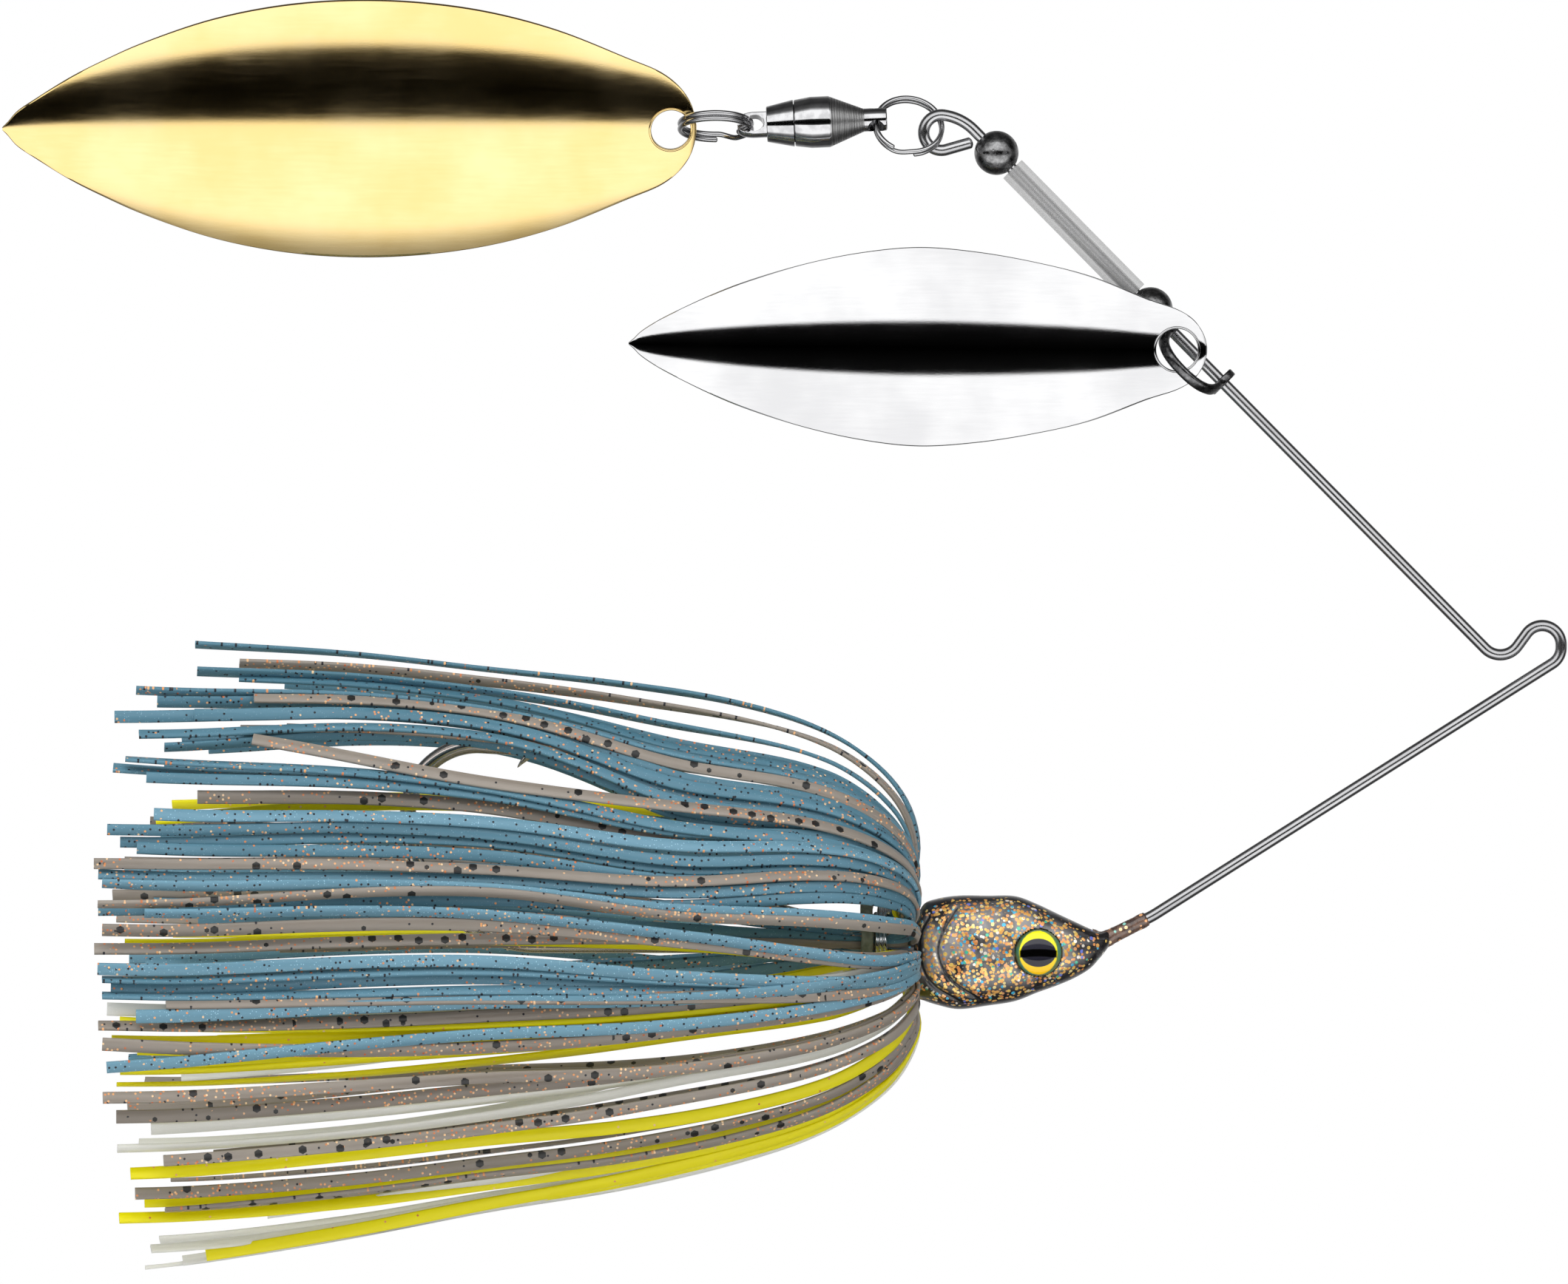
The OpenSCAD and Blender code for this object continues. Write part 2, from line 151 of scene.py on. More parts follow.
def fillet(poly, rad, seg=3, closed=True):
    """Rounds the corners of a 2D line."""
    P = [np.array(p, float) for p in poly]
    out = []
    n = len(P)
    for i in range(n):
        if not closed and i in (0, n - 1):
            out.append(P[i])
            continue
        a, b, c = P[i - 1], P[i], P[(i + 1) % n]
        u, v = a - b, c - b
        lu, lv = np.linalg.norm(u), np.linalg.norm(v)
        u, v = u / max(lu, 1e-9), v / max(lv, 1e-9)
        cosang = float(np.clip(np.dot(u, v), -1, 1))
        if cosang < -0.995:
            out.append(b)
            continue
        half = math.acos(cosang) / 2
        d = min(rad / math.tan(half), 0.45 * lu, 0.45 * lv)
        p0, p1 = b + u * d, b + v * d
        for k in range(seg + 1):
            t = k / seg
            out.append((1 - t) ** 2 * p0 + 2 * t * (1 - t) * b + t * t * p1)
    return out


def axes(D, ref=(0, 1, 0)):
    D = unit(np.array(D, float))
    U = np.array(ref, float)
    U = unit(U - np.dot(U, D) * D)
    W = np.cross(D, U)
    return D, U, W


def lathe(profile, O, D, N=64, closed=True, ref=(0, 1, 0), shape=None):
    """Turns (along, radius) pairs about an axis. A closed profile goes up its outer wall and down its inner one."""
    D, U, W = axes(D, ref)
    O = np.array(O, float)
    V, F, own = [], [], []
    ring = []
    for v, r in profile:
        if r < 1e-6:
            ring.append(("pole", len(V)))
            V.append(O + v * D)
            own.append((v, 0, 0))
        else:
            ring.append(("ring", len(V)))
            for j in range(N):
                a = 2 * math.pi * j / N
                x, y = r * math.cos(a), r * math.sin(a)
                if shape:
                    x, y = shape(v, x, y)
                V.append(O + v * D + x * U + y * W)
                own.append((v, x, y))
    n = len(profile)
    for i in range(n if closed else n - 1):
        (ka, a), (kb, b) = ring[i], ring[(i + 1) % n]
        for j in range(N):
            m = (j + 1) % N
            if ka == "ring" and kb == "ring":
                F.append([a + j, a + m, b + m, b + j])
            elif ka == "pole" and kb == "ring":
                F.append([a, b + m, b + j])
            elif ka == "ring" and kb == "pole":
                F.append([a + j, a + m, b])
    return np.array(V), F, np.array(own)


def cut(ob, cutter_v, cutter_f):
    """Takes a closed shell away from a piece, exactly, and applies it."""
    me = bpy.data.meshes.new("cutter")
    me.from_pydata((np.asarray(cutter_v) * MM).tolist(), [], cutter_f)
    c = bpy.data.objects.new("cutter", me)
    scene.collection.objects.link(c)
    m = ob.modifiers.new("cut", "BOOLEAN")
    m.operation, m.solver, m.object = "DIFFERENCE", "EXACT", c
    dg = bpy.context.evaluated_depsgraph_get()
    new = bpy.data.meshes.new_from_object(ob.evaluated_get(dg))
    ob.modifiers.clear()
    ob.data = new
    new.polygons.foreach_set("use_smooth", [True] * len(new.polygons))
    new.set_sharp_from_angle(angle=math.radians(30))
    bpy.data.objects.remove(c)


def drill(ob, O, D, r, h=6, N=48):
    ref = (0, 1, 0) if abs(D[1]) < 0.9 else (1, 0, 0)
    V, F, _ = lathe([(-h / 2, 0), (-h / 2, r), (h / 2, r), (h / 2, 0)], O, D, N, closed=False, ref=ref)
    cut(ob, V, F)


def put(ob, body, slot, *nodes):
    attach(ob, body)
    if nodes:
        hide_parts(*nodes)
    return ob


def catmull(pts, n):
    """A smooth line of n places through the points, by distance."""
    P = np.asarray(pts, float)
    d = np.concatenate([[0], np.cumsum(np.linalg.norm(np.diff(P, axis=0), axis=1) ** 0.5)])
    m = np.zeros_like(P)
    for i in range(len(P)):
        if i == 0:
            m[i] = (P[1] - P[0]) / (d[1] - d[0])
        elif i == len(P) - 1:
            m[i] = (P[i] - P[i - 1]) / (d[i] - d[i - 1])
        else:
            a, b = d[i] - d[i - 1], d[i + 1] - d[i]
            m[i] = ((P[i] - P[i - 1]) / a * b + (P[i + 1] - P[i]) / b * a) / (a + b)
    dense = []
    for i in range(len(P) - 1):
        h = d[i + 1] - d[i]
        for t in np.linspace(0, 1, 24, endpoint=i == len(P) - 2):
            h00, h10 = 2 * t ** 3 - 3 * t ** 2 + 1, t ** 3 - 2 * t ** 2 + t
            h01, h11 = -2 * t ** 3 + 3 * t ** 2, t ** 3 - t ** 2
            dense.append(h00 * P[i] + h10 * h * m[i] + h01 * P[i + 1] + h11 * h * m[i + 1])
    dense = np.array(dense)
    s = np.concatenate([[0], np.cumsum(np.linalg.norm(np.diff(dense, axis=0), axis=1))])
    t = np.linspace(0, s[-1], n)
    return np.stack([np.interp(t, s, dense[:, k]) for k in range(P.shape[1])], 1)


# ------------------------------------------------------------------ material tools
class Mat:
    def __init__(self, name):
        self.m = bpy.data.materials.new(name)
        self.m.use_nodes = True
        self.t = self.m.node_tree
        self.b = next(n for n in self.t.nodes if n.type == "BSDF_PRINCIPLED")

    def n(self, kind, **kw):
        nd = self.t.nodes.new("ShaderNode" + kind)
        for k, v in kw.items():
            setattr(nd, k, v)
        return nd

    def l(self, a, b):
        self.t.links.new(a, b)

    def set(self, **kw):
        for k, v in kw.items():
            self.b.inputs[k.replace("_", " ")].default_value = v
        return self

    def put(self, sock, value):
        if hasattr(value, "is_linked") or hasattr(value, "links"):
            self.l(value, sock)
        else:
            sock.default_value = value

    def place(self, scale=(1000, 1000, 1000), offset=(0, 0, 0)):
        """The piece's own space, in mm unless scaled otherwise."""
        tc = self.n("TexCoord")
        mp = self.n("Mapping")
        self.l(tc.outputs["Object"], mp.inputs["Vector"])
        mp.inputs["Scale"].default_value = scale
        mp.inputs["Location"].default_value = offset
        return mp.outputs[0]

    def own(self, scale=(1, 1, 1), offset=(0, 0, 0)):
        at = self.n("Attribute", attribute_name="own")
        mp = self.n("Mapping")
        self.l(at.outputs["Vector"], mp.inputs["Vector"])
        mp.inputs["Scale"].default_value = scale
        mp.inputs["Location"].default_value = offset
        return mp.outputs[0]

    def tint(self):
        return self.n("Attribute", attribute_name="tint").outputs["Fac"]

    def noise(self, vec, scale=1.0, detail=4.0, rough=0.5):
        nd = self.n("TexNoise")
        self.l(vec, nd.inputs["Vector"])
        nd.inputs["Scale"].default_value = scale
        nd.inputs["Detail"].default_value = detail
        nd.inputs["Roughness"].default_value = rough
        return nd.outputs["Fac"]

    def cells(self, vec, scale=1.0, dims="3D", random_=1.0):
        nd = self.n("TexVoronoi", voronoi_dimensions=dims)
        self.l(vec, nd.inputs["Vector"])
        nd.inputs["Scale"].default_value = scale
        nd.inputs["Randomness"].default_value = random_
        return nd

    def math(self, op, a, b=None, c=None, clamp=False):
        nd = self.n("Math", operation=op, use_clamp=clamp)
        for i, x in enumerate((a, b, c)):
            if x is not None:
                self.put(nd.inputs[i], x)
        return nd.outputs[0]

    def map(self, v, a, b, c=0.0, d=1.0, smooth=True):
        nd = self.n("MapRange")
        nd.interpolation_type = "SMOOTHSTEP" if smooth else "LINEAR"
        self.put(nd.inputs["Value"], v)
        for k, x in zip(("From Min", "From Max", "To Min", "To Max"), (a, b, c, d)):
            nd.inputs[k].default_value = x
        return nd.outputs[0]

    def mix(self, f, a, b, kind="MIX"):
        nd = self.n("Mix", data_type="RGBA", blend_type=kind)
        self.put(nd.inputs["Factor"], f)
        for sock, x in ((nd.inputs[6], a), (nd.inputs[7], b)):
            if isinstance(x, tuple):
                sock.default_value = (*x, 1.0) if len(x) == 3 else x
            else:
                self.l(x, sock)
        return nd.outputs[2]

    def ramp(self, f, stops, kind="LINEAR"):
        nd = self.n("ValToRGB")
        cr = nd.color_ramp
        cr.interpolation = kind
        while len(cr.elements) > 1:
            cr.elements.remove(cr.elements[-1])
        for i, (p, c) in enumerate(stops):
            e = cr.elements[0] if i == 0 else cr.elements.new(p)
            e.position = p
            e.color = (*c, 1.0) if len(c) == 3 else c
        self.l(f, nd.inputs["Fac"])
        return nd.outputs["Color"]

    def split(self, vec):
        nd = self.n("SeparateXYZ")
        self.l(vec, nd.inputs[0])
        return nd.outputs

    def bump(self, height, dist, strength=1.0, under=None):
        nd = self.n("Bump")
        self.l(height, nd.inputs["Height"])
        nd.inputs["Distance"].default_value = dist
        nd.inputs["Strength"].default_value = strength
        if under is not None:
            self.l(under, nd.inputs["Normal"])
        return nd.outputs[0]

    def to(self, name, out):
        self.l(out, self.b.inputs[name])
        return self


def metal(name, base, dark, rough=(0.1, 0.25), streak=None, bump=0.004, own=True, grain=1.0):
    """Metal whose tone and gloss vary a little: streaks along a wire, or fine clouding."""
    m = Mat(name)
    vec = m.own(scale=streak) if own else m.place(scale=tuple(1000 * s for s in (streak or (1, 1, 1))))
    a = m.noise(vec, 3.0 * grain, 5.0, 0.6)
    b = m.noise(vec, 0.7 * grain, 3.0, 0.5)
    k = m.math("ADD", m.math("MULTIPLY", a, 0.6), m.math("MULTIPLY", b, 0.4))
    k = m.map(k, 0.32, 0.68)
    m.to("Base Color", m.mix(k, dark, base))
    m.to("Roughness", m.map(k, 0.0, 1.0, rough[1], rough[0], smooth=False))
    m.to("Normal", m.bump(a, bump * MM, 0.3))
    m.set(Metallic=1.0)
    return m


# ------------------------------------------------------------------ materials
wire_m = metal("drawn_wire", (0.60, 0.60, 0.61), (0.40, 0.40, 0.41), (0.16, 0.27), streak=(0.02, 0.8, 0.8), bump=0.004)
hook_m = metal("hook_nickel", (0.84, 0.79, 0.75), (0.50, 0.44, 0.41), (0.10, 0.22), streak=(0.04, 0.8, 0.8), bump=0.003)
ring_m = metal("ring_wire", (0.66, 0.66, 0.67), (0.40, 0.40, 0.41), (0.06, 0.14), streak=(0.06, 1.0, 1.0), bump=0.002)
tie_m = metal("tie_wire", (0.92, 0.92, 0.92), (0.7, 0.7, 0.7), (0.12, 0.2), streak=(0.2, 3.0, 3.0), bump=0.002)
ball_m = metal("bearing_steel", (0.85, 0.85, 0.86), (0.7, 0.7, 0.7), (0.06, 0.1), streak=(1, 1, 1), bump=0.001)


def gunmetal(name, lo, hi):
    m = Mat(name)
    v = m.place()
    k = m.map(m.noise(v, 1.1, 6.0, 0.62), 0.3, 0.72)
    m.to("Base Color", m.ramp(k, [(0.0, lo), (0.55, tuple((a + b) / 2 for a, b in zip(lo, hi))), (1.0, hi)]))
    m.to("Roughness", m.map(m.noise(v, 2.6, 4.0), 0.3, 0.7, 0.13, 0.34))
    pits = m.map(m.cells(v, 2.2).outputs["Distance"], 0.05, 0.3)
    m.to("Normal", m.bump(m.math("ADD", m.noise(v, 4.0, 3.0), m.math("MULTIPLY", pits, 0.5)), 0.02 * MM, 0.5))
    return m.set(Metallic=1.0)


bead_m = gunmetal("bead_gunmetal", (0.10, 0.10, 0.102), (0.44, 0.44, 0.445))
clevis_m = gunmetal("clevis_gunmetal", (0.045, 0.045, 0.047), (0.27, 0.27, 0.275))


def blade_mat(name, base, tone, rough):
    """Plated sheet: a mirror with rolling marks along it, fine scratches and a little orange peel."""
    m = Mat(name)
    v = m.place()
    long_ = m.place(scale=(90, 1000, 1400))
    rolled = m.noise(long_, 2.4, 6.0, 0.65)
    cloud = m.noise(v, 0.12, 3.0)
    fine = m.noise(v, 9.0, 2.0, 0.7)
    spark = m.map(m.cells(v, 4.5).outputs["Distance"], 0.0, 0.16, 1.0, 0.0)
    m.to("Base Color", m.mix(m.map(m.math("ADD", m.math("MULTIPLY", cloud, 0.8), m.math("MULTIPLY", rolled, 0.2)), 0.32, 0.68), tone, base))
    m.to("Roughness", m.map(m.math("ADD", m.math("MULTIPLY", cloud, 0.6), m.math("MULTIPLY", rolled, 0.4)), 0.3, 0.7, rough[0], rough[1]))
    h = m.math("ADD", m.math("MULTIPLY", rolled, 0.08), m.math("ADD", m.math("MULTIPLY", fine, 0.6), m.math("MULTIPLY", spark, 0.25)))
    m.to("Normal", m.bump(h, 0.0035 * MM, 0.55))
    return m.set(Metallic=1.0)


silver_m = blade_mat("silver_plate", (0.73, 0.73, 0.735), (0.60, 0.60, 0.61), (0.03, 0.07))
gold_m = blade_mat("gold_plate", (0.95, 0.735, 0.37), (0.86, 0.63, 0.26), (0.09, 0.16))


def swivel_mat():
    """Black nickel, with turning marks on the barrel's taper."""
    m = Mat("swivel_nickel")
    v = m.split(m.own())
    along = v[0]
    taper = m.math("MULTIPLY", m.map(along, 0.95, 1.1), m.map(along, 3.8, 3.95, 1.0, 0.0))
    lines = m.noise(m.own(scale=(9.0, 0.05, 0.05)), 1.0, 4.0, 0.7)
    cloud = m.noise(m.own(), 1.3, 4.0)
    dark = m.mix(m.map(cloud, 0.35, 0.65), (0.50, 0.50, 0.51), (0.66, 0.66, 0.67))
    grey = m.mix(m.map(lines, 0.35, 0.65), (0.22, 0.22, 0.22), (0.62, 0.62, 0.62))
    m.to("Base Color", m.mix(taper, dark, grey))
    m.to("Roughness", m.math("ADD", m.math("MULTIPLY", taper, 0.26), 0.10))
    m.to("Normal", m.bump(m.math("MULTIPLY", lines, m.math("ADD", taper, 0.06)), 0.02 * MM, 0.6))
    return m.set(Metallic=1.0)


swivel_m = swivel_mat()


def tube_mat():
    m = Mat("clear_vinyl")
    v = m.own(scale=(0.03, 1.0, 1.0))
    k = m.noise(v, 2.0, 3.0)
    m.to("Base Color", m.mix(m.map(k, 0.3, 0.7), (0.36, 0.36, 0.36), (0.50, 0.50, 0.50)))
    m.to("Roughness", m.map(k, 0.3, 0.7, 0.16, 0.3))
    m.set(Alpha=0.40)
    return m


tube_m = tube_mat()


def rubber_band():
    m = Mat("band_rubber")
    v = m.place()
    k = m.noise(v, 2.0, 5.0)
    m.to("Base Color", m.mix(m.map(k, 0.3, 0.7), (0.12, 0.13, 0.10), (0.21, 0.23, 0.18)))
    m.to("Roughness", m.map(k, 0.3, 0.7, 0.5, 0.7))
    m.to("Normal", m.bump(m.noise(v, 6.0, 3.0), 0.03 * MM, 0.5))
    return m.set(Subsurface_Weight=0.15, Subsurface_Scale=0.0006)


band_m = rubber_band()


# ---- the skirt's silicone
def hexes(m, own, size, share, spread, salt=0.0):
    """Flat six-sided flakes along a strip: one place every spread mm, of which a share is used."""
    p = m.split(own)
    u = m.math("ADD", m.math("DIVIDE", p[0], spread), salt)
    cell = m.math("FLOOR", u)
    wn = m.n("TexWhiteNoise", noise_dimensions="1D")
    m.l(cell, wn.inputs["W"])
    r = m.split(wn.outputs["Color"])
    a = m.math("MULTIPLY", m.math("SUBTRACT", m.math("SUBTRACT", u, cell), m.math("ADD", m.math("MULTIPLY", r[0], 0.4), 0.3)), spread)
    b = m.math("SUBTRACT", p[1], m.math("MULTIPLY", m.math("SUBTRACT", r[1], 0.5), 0.62))
    a, b = m.math("ABSOLUTE", a), m.math("ABSOLUTE", b)
    h = m.math("MAXIMUM", a, m.math("ADD", m.math("MULTIPLY", a, 0.5), m.math("MULTIPLY", b, 0.866)))
    inside = m.map(h, size / 2 * 0.88, size / 2, 1.0, 0.0)
    crowd = m.map(m.noise(m.own(scale=(0.045, 0.0, 0.0), offset=(salt, 0, 0)), 1.0, 1.0), 0.44, 0.58)
    return m.math("MULTIPLY", inside, m.math("LESS_THAN", r[2], m.math("MULTIPLY", crowd, share)))


def strand_mat(name, lo, hi, rough, hex_share=0.0, dust=0.12, copper=0.1, pearl=0.0, sss=0.25):
    m = Mat(name)
    own = m.own()
    t = m.tint()
    broad = m.noise(m.own(scale=(0.06, 0.8, 0.8)), 1.0, 4.0)
    edge = m.math("ABSOLUTE", m.split(own)[1])
    k = m.math("ADD", m.math("MULTIPLY", t, 0.7), m.math("MULTIPLY", m.map(broad, 0.3, 0.7), 0.3), clamp=True)
    col = m.mix(k, lo, hi)
    # painted shade: the colour darkens towards each strand's two long edges, as shade on their rounded sides
    col = m.mix(m.map(edge, 0.45, 0.72, 0.0, 0.35), col, tuple(c * 0.6 for c in lo))
    if pearl:
        sheen = m.cells(m.own(scale=(5.5, 5.5, 5.5)), 1.0)
        g = m.math("MULTIPLY", m.map(sheen.outputs["Distance"], 0.1, 0.34, 1.0, 0.0), m.math("GREATER_THAN", m.split(sheen.outputs["Color"])[0], 0.62))
        lit = m.math("MULTIPLY", g, m.math("MULTIPLY", m.math("ADD", m.math("MULTIPLY", t, 0.9), 0.1), pearl))
        col = m.mix(lit, col, tuple(min(1.0, c * 1.5 + 0.25) for c in hi))
    if dust:
        d = m.cells(m.own(scale=(2.0, 2.0, 2.0)), 1.0, "2D")
        dm = m.math("MULTIPLY", m.map(d.outputs["Distance"], 0.15, 0.25, 1.0, 0.0), m.math("LESS_THAN", m.split(d.outputs["Color"])[1], dust))
        col = m.mix(dm, col, (0.012, 0.012, 0.018))
    if copper:
        d = m.cells(m.own(scale=(2.6, 2.6, 2.6), offset=(31, 7, 3)), 1.0, "2D")
        far = m.math("MULTIPLY", m.map(m.noise(m.own(scale=(0.05, 0.2, 0.2), offset=(9, 0, 0)), 1.0, 2.0), 0.42, 0.6), copper)
        dm = m.math("MULTIPLY", m.map(d.outputs["Distance"], 0.20, 0.30, 1.0, 0.0), m.math("LESS_THAN", m.split(d.outputs["Color"])[2], far))
        col = m.mix(dm, col, m.ramp(m.split(d.outputs["Color"])[0], [(0.0, (0.55, 0.14, 0.05)), (0.5, (0.78, 0.36, 0.14)), (1.0, (0.85, 0.62, 0.38))]))
    if hex_share:
        for size, share, spread, salt in ((0.72, hex_share, 1.9, 0.0), (0.42, hex_share * 0.25, 2.7, 7.3)):
            hx = hexes(m, own, size, share, spread, salt)
            col = m.mix(m.math("MULTIPLY", hx, 0.96), col, (0.008, 0.009, 0.010))
    m.to("Base Color", col)
    m.to("Roughness", m.map(broad, 0.3, 0.7, rough[0], rough[1]))
    m.to("Normal", m.bump(m.noise(m.own(scale=(0.4, 5.0, 5.0)), 1.0, 3.0), 0.02 * MM, 0.4))
    m.set(Subsurface_Weight=sss, Subsurface_Scale=0.0008, Subsurface_Radius=(1.0, 1.0, 1.0))
    return m


blue_m = strand_mat("silicone_blue", (0.060, 0.165, 0.225), (0.165, 0.33, 0.43), (0.36, 0.50), dust=0.26, copper=0.30, pearl=0.8)
smoke_m = strand_mat("silicone_smoke", (0.185, 0.155, 0.125), (0.36, 0.325, 0.285), (0.26, 0.40), hex_share=0.62, dust=0.07, copper=0.60, sss=0.35)
chart_m = strand_mat("silicone_chartreuse", (0.70, 0.61, 0.0), (0.93, 0.84, 0.0), (0.34, 0.46), dust=0.0, copper=0.02, sss=0.35)
pearl_m = strand_mat("silicone_pearl", (0.62, 0.62, 0.55), (0.86, 0.86, 0.82), (0.22, 0.34), dust=0.0, copper=0.0, pearl=0.4, sss=0.5)


# ---- the head's paint
def head_mat():
    """Smoke paint with a pale cloud on the cheek, full of round glitter, under clear gloss, with painted shade
    darkening the gill grooves.
    """
    m = Mat("glitter_paint")
    v = m.place()
    p = m.split(v)
    side = m.map(m.math("ABSOLUTE", p[1]), 1.7, 3.3)
    cheek = m.math("MULTIPLY", side, m.map(m.noise(v, 0.38, 3.0), 0.36, 0.62))
    low = m.math("MULTIPLY", cheek, m.map(p[2], -30.6, -27.6))
    base = m.mix(low, (0.010, 0.009, 0.010), (0.27, 0.26, 0.26))
    streak = m.noise(m.place(scale=(220, 1000, 1600)), 1.0, 5.0, 0.65)
    base = m.mix(m.math("MULTIPLY", m.map(streak, 0.5, 0.72), m.map(side, 0.0, 1.0, 0.5, 0.1, smooth=False)), base, (0.17, 0.165, 0.17))
    # painted shade: the gill grooves' mask darkens the paint to near black in the grooves, and also keeps glitter out
    # of them
    shaded_groove = m.tint()
    base = m.mix(m.map(shaded_groove, 0.55, 1.0), base, (0.004, 0.004, 0.005))
    glit = m.mix(0.0, base, base)
    mask_all = None
    for cell, size, share, off in ((0.42, 0.40, 0.80, 0.0), (0.56, 0.34, 0.85, 17.0), (0.46, 0.38, 0.80, 41.0), (0.36, 0.40, 0.6, 63.0)):
        c = m.cells(m.place(offset=(off, off * 0.7, off * 0.3)), 1.0 / cell)
        col = m.split(c.outputs["Color"])
        dens = m.math("ADD", m.math("MULTIPLY", m.map(m.math("ABSOLUTE", p[1]), 1.2, 2.9), share), 0.05)
        dm = m.math("MULTIPLY", m.map(c.outputs["Distance"], size * 0.8, size, 1.0, 0.0), m.math("LESS_THAN", col[0], dens))
        dm = m.math("MULTIPLY", dm, m.map(shaded_groove, 0.35, 0.7, 1.0, 0.0))
        hue = m.ramp(col[1], [(0.0, (0.86, 0.34, 0.10)), (0.16, (0.98, 0.50, 0.13)), (0.40, (1.0, 0.66, 0.16)), (0.60, (1.0, 0.80, 0.34)),
                              (0.72, (0.98, 0.46, 0.20)), (0.80, (1.0, 0.92, 0.80)), (0.87, (0.08, 0.55, 0.85)), (0.93, (0.10, 0.60, 0.40)), (0.97, (0.20, 0.26, 0.85))], "CONSTANT")
        glit = m.mix(dm, glit, hue)
        mask_all = dm if mask_all is None else m.math("MAXIMUM", mask_all, dm)
    m.to("Base Color", glit)
    m.to("Metallic", m.math("MULTIPLY", mask_all, 0.35))
    m.to("Roughness", m.map(mask_all, 0.0, 1.0, 0.34, 0.22, smooth=False))
    m.to("Normal", m.bump(m.math("ADD", m.noise(v, 0.9, 3.0), m.math("MULTIPLY", mask_all, 0.5)), 0.05 * MM, 0.35))
    m.set(Coat_Weight=1.0, Coat_Roughness=0.06, Coat_IOR=1.5)
    return m


head_m = head_mat()


def sleeve_paint():
    """The copper-brown, glittered paint that runs a little way up the wire."""
    m = Mat("nose_paint")
    v = m.place()
    k = m.noise(v, 1.4, 4.0)
    base = m.mix(m.map(k, 0.35, 0.65), (0.055, 0.035, 0.03), (0.20, 0.115, 0.08))
    c = m.cells(v, 2.2)
    dm = m.math("MULTIPLY", m.map(c.outputs["Distance"], 0.3, 0.4, 1.0, 0.0), m.math("LESS_THAN", m.split(c.outputs["Color"])[0], 0.4))
    m.to("Base Color", m.mix(dm, base, m.ramp(m.split(c.outputs["Color"])[1], [(0.0, (0.9, 0.45, 0.2)), (0.6, (1.0, 0.75, 0.4)), (0.85, (0.3, 0.7, 0.6))], "CONSTANT")))
    m.to("Roughness", m.map(k, 0.3, 0.7, 0.2, 0.4))
    m.to("Normal", m.bump(k, 0.08 * MM, 0.5))
    return m.set(Coat_Weight=1.0, Coat_Roughness=0.08)


nose_m = sleeve_paint()

EYE = (-43.3, -26.4)


def iris_mat(name, gloss):
    m = Mat(name)
    v = m.split(m.place())
    dx, dz = m.math("SUBTRACT", v[0], EYE[0]), m.math("SUBTRACT", v[2], EYE[1])
    r = m.math("SQRT", m.math("ADD", m.math("MULTIPLY", dx, dx), m.math("MULTIPLY", dz, dz)))

    def oval(a, b):
        p, q = m.math("DIVIDE", dx, a), m.math("DIVIDE", dz, b)
        return m.math("SQRT", m.math("ADD", m.math("MULTIPLY", p, p), m.math("MULTIPLY", q, q)))

    wob = m.math("MULTIPLY", m.math("SUBTRACT", m.noise(m.place(), 3.0, 3.0), 0.5), 0.05)
    ring = m.map(m.math("ADD", oval(1.64, 1.86), wob), 0.97, 1.03, 1.0, 0.0)
    pupil = m.map(oval(1.52, 1.22), 0.97, 1.03, 1.0, 0.0)
    # the black bar across the pupil is partly the print's slit and partly painted reflection of the dark band in front
    # of the eye
    slit_and_reflection_bar = m.math("MULTIPLY", m.map(m.math("ABSOLUTE", m.math("ADD", dz, m.math("MULTIPLY", m.math("MULTIPLY", dx, dx), 0.05))), 0.26, 0.38, 1.0, 0.0), m.map(m.math("ABSOLUTE", dx), 1.5, 1.7, 1.0, 0.0))
    rim = m.ramp(m.math("DIVIDE", m.math("ADD", r, wob), 2.1), [(0.0, (0.05, 0.10, 0.03)), (0.82, (0.10, 0.20, 0.05)), (0.90, (0.16, 0.19, 0.09)), (1.0, (0.20, 0.19, 0.15))])
    rim = m.mix(m.map(m.noise(m.place(), 1.1, 3.0), 0.45, 0.6), rim, (0.07, 0.20, 0.13))
    yellow = m.mix(m.map(dz, -1.7, 0.6), (0.98, 0.58, 0.0), (0.93, 0.90, 0.01))
    col = m.mix(ring, rim, yellow)
    col = m.mix(pupil, col, m.mix(m.map(dz, -1.3, 1.3), (0.012, 0.012, 0.020), (0.030, 0.030, 0.042)))
    col = m.mix(slit_and_reflection_bar, col, (0.001, 0.001, 0.001))
    m.to("Base Color", col)
    m.to("Roughness", m.map(m.noise(m.place(), 5.0), 0.3, 0.7, 0.35, 0.5))
    return m.set(Coat_Weight=gloss, Coat_Roughness=0.03, Coat_IOR=1.5, Specular_IOR_Level=0.3 - 0.28 * gloss)


iris_m = iris_mat("eye_print", 0.0)
lens_m = iris_mat("eye_resin", 1.0)





# ------------------------------------------------------------------ wire
def turtle(start, heading, path, fine=4.0):
    """Places along straight runs and arcs in the X-Z plane, in mm, and the heading at the end."""
    x, z = start
    h = heading
    out = [(x, z)]
    for g in path:
        if g[0] == "L":
            k = max(1, int(g[1] / 2.0))
            for i in range(k):
                x += g[1] / k * math.cos(math.radians(h))
                z += g[1] / k * math.sin(math.radians(h))
                out.append((x, z))
        else:
            k = max(2, int(abs(g[2]) / fine))
            for i in range(k):
                sg = 1 if g[2] > 0 else -1
                a0, a1 = math.radians(h), math.radians(h + g[2] / k)
                x += sg * g[1] * (math.sin(a1) - math.sin(a0))
                z += -sg * g[1] * (math.cos(a1) - math.cos(a0))
                h += g[2] / k
                out.append((x, z))
    return out, h


def flat3(pts):
    return np.array([(x, 0.0, z) for x, z in pts])


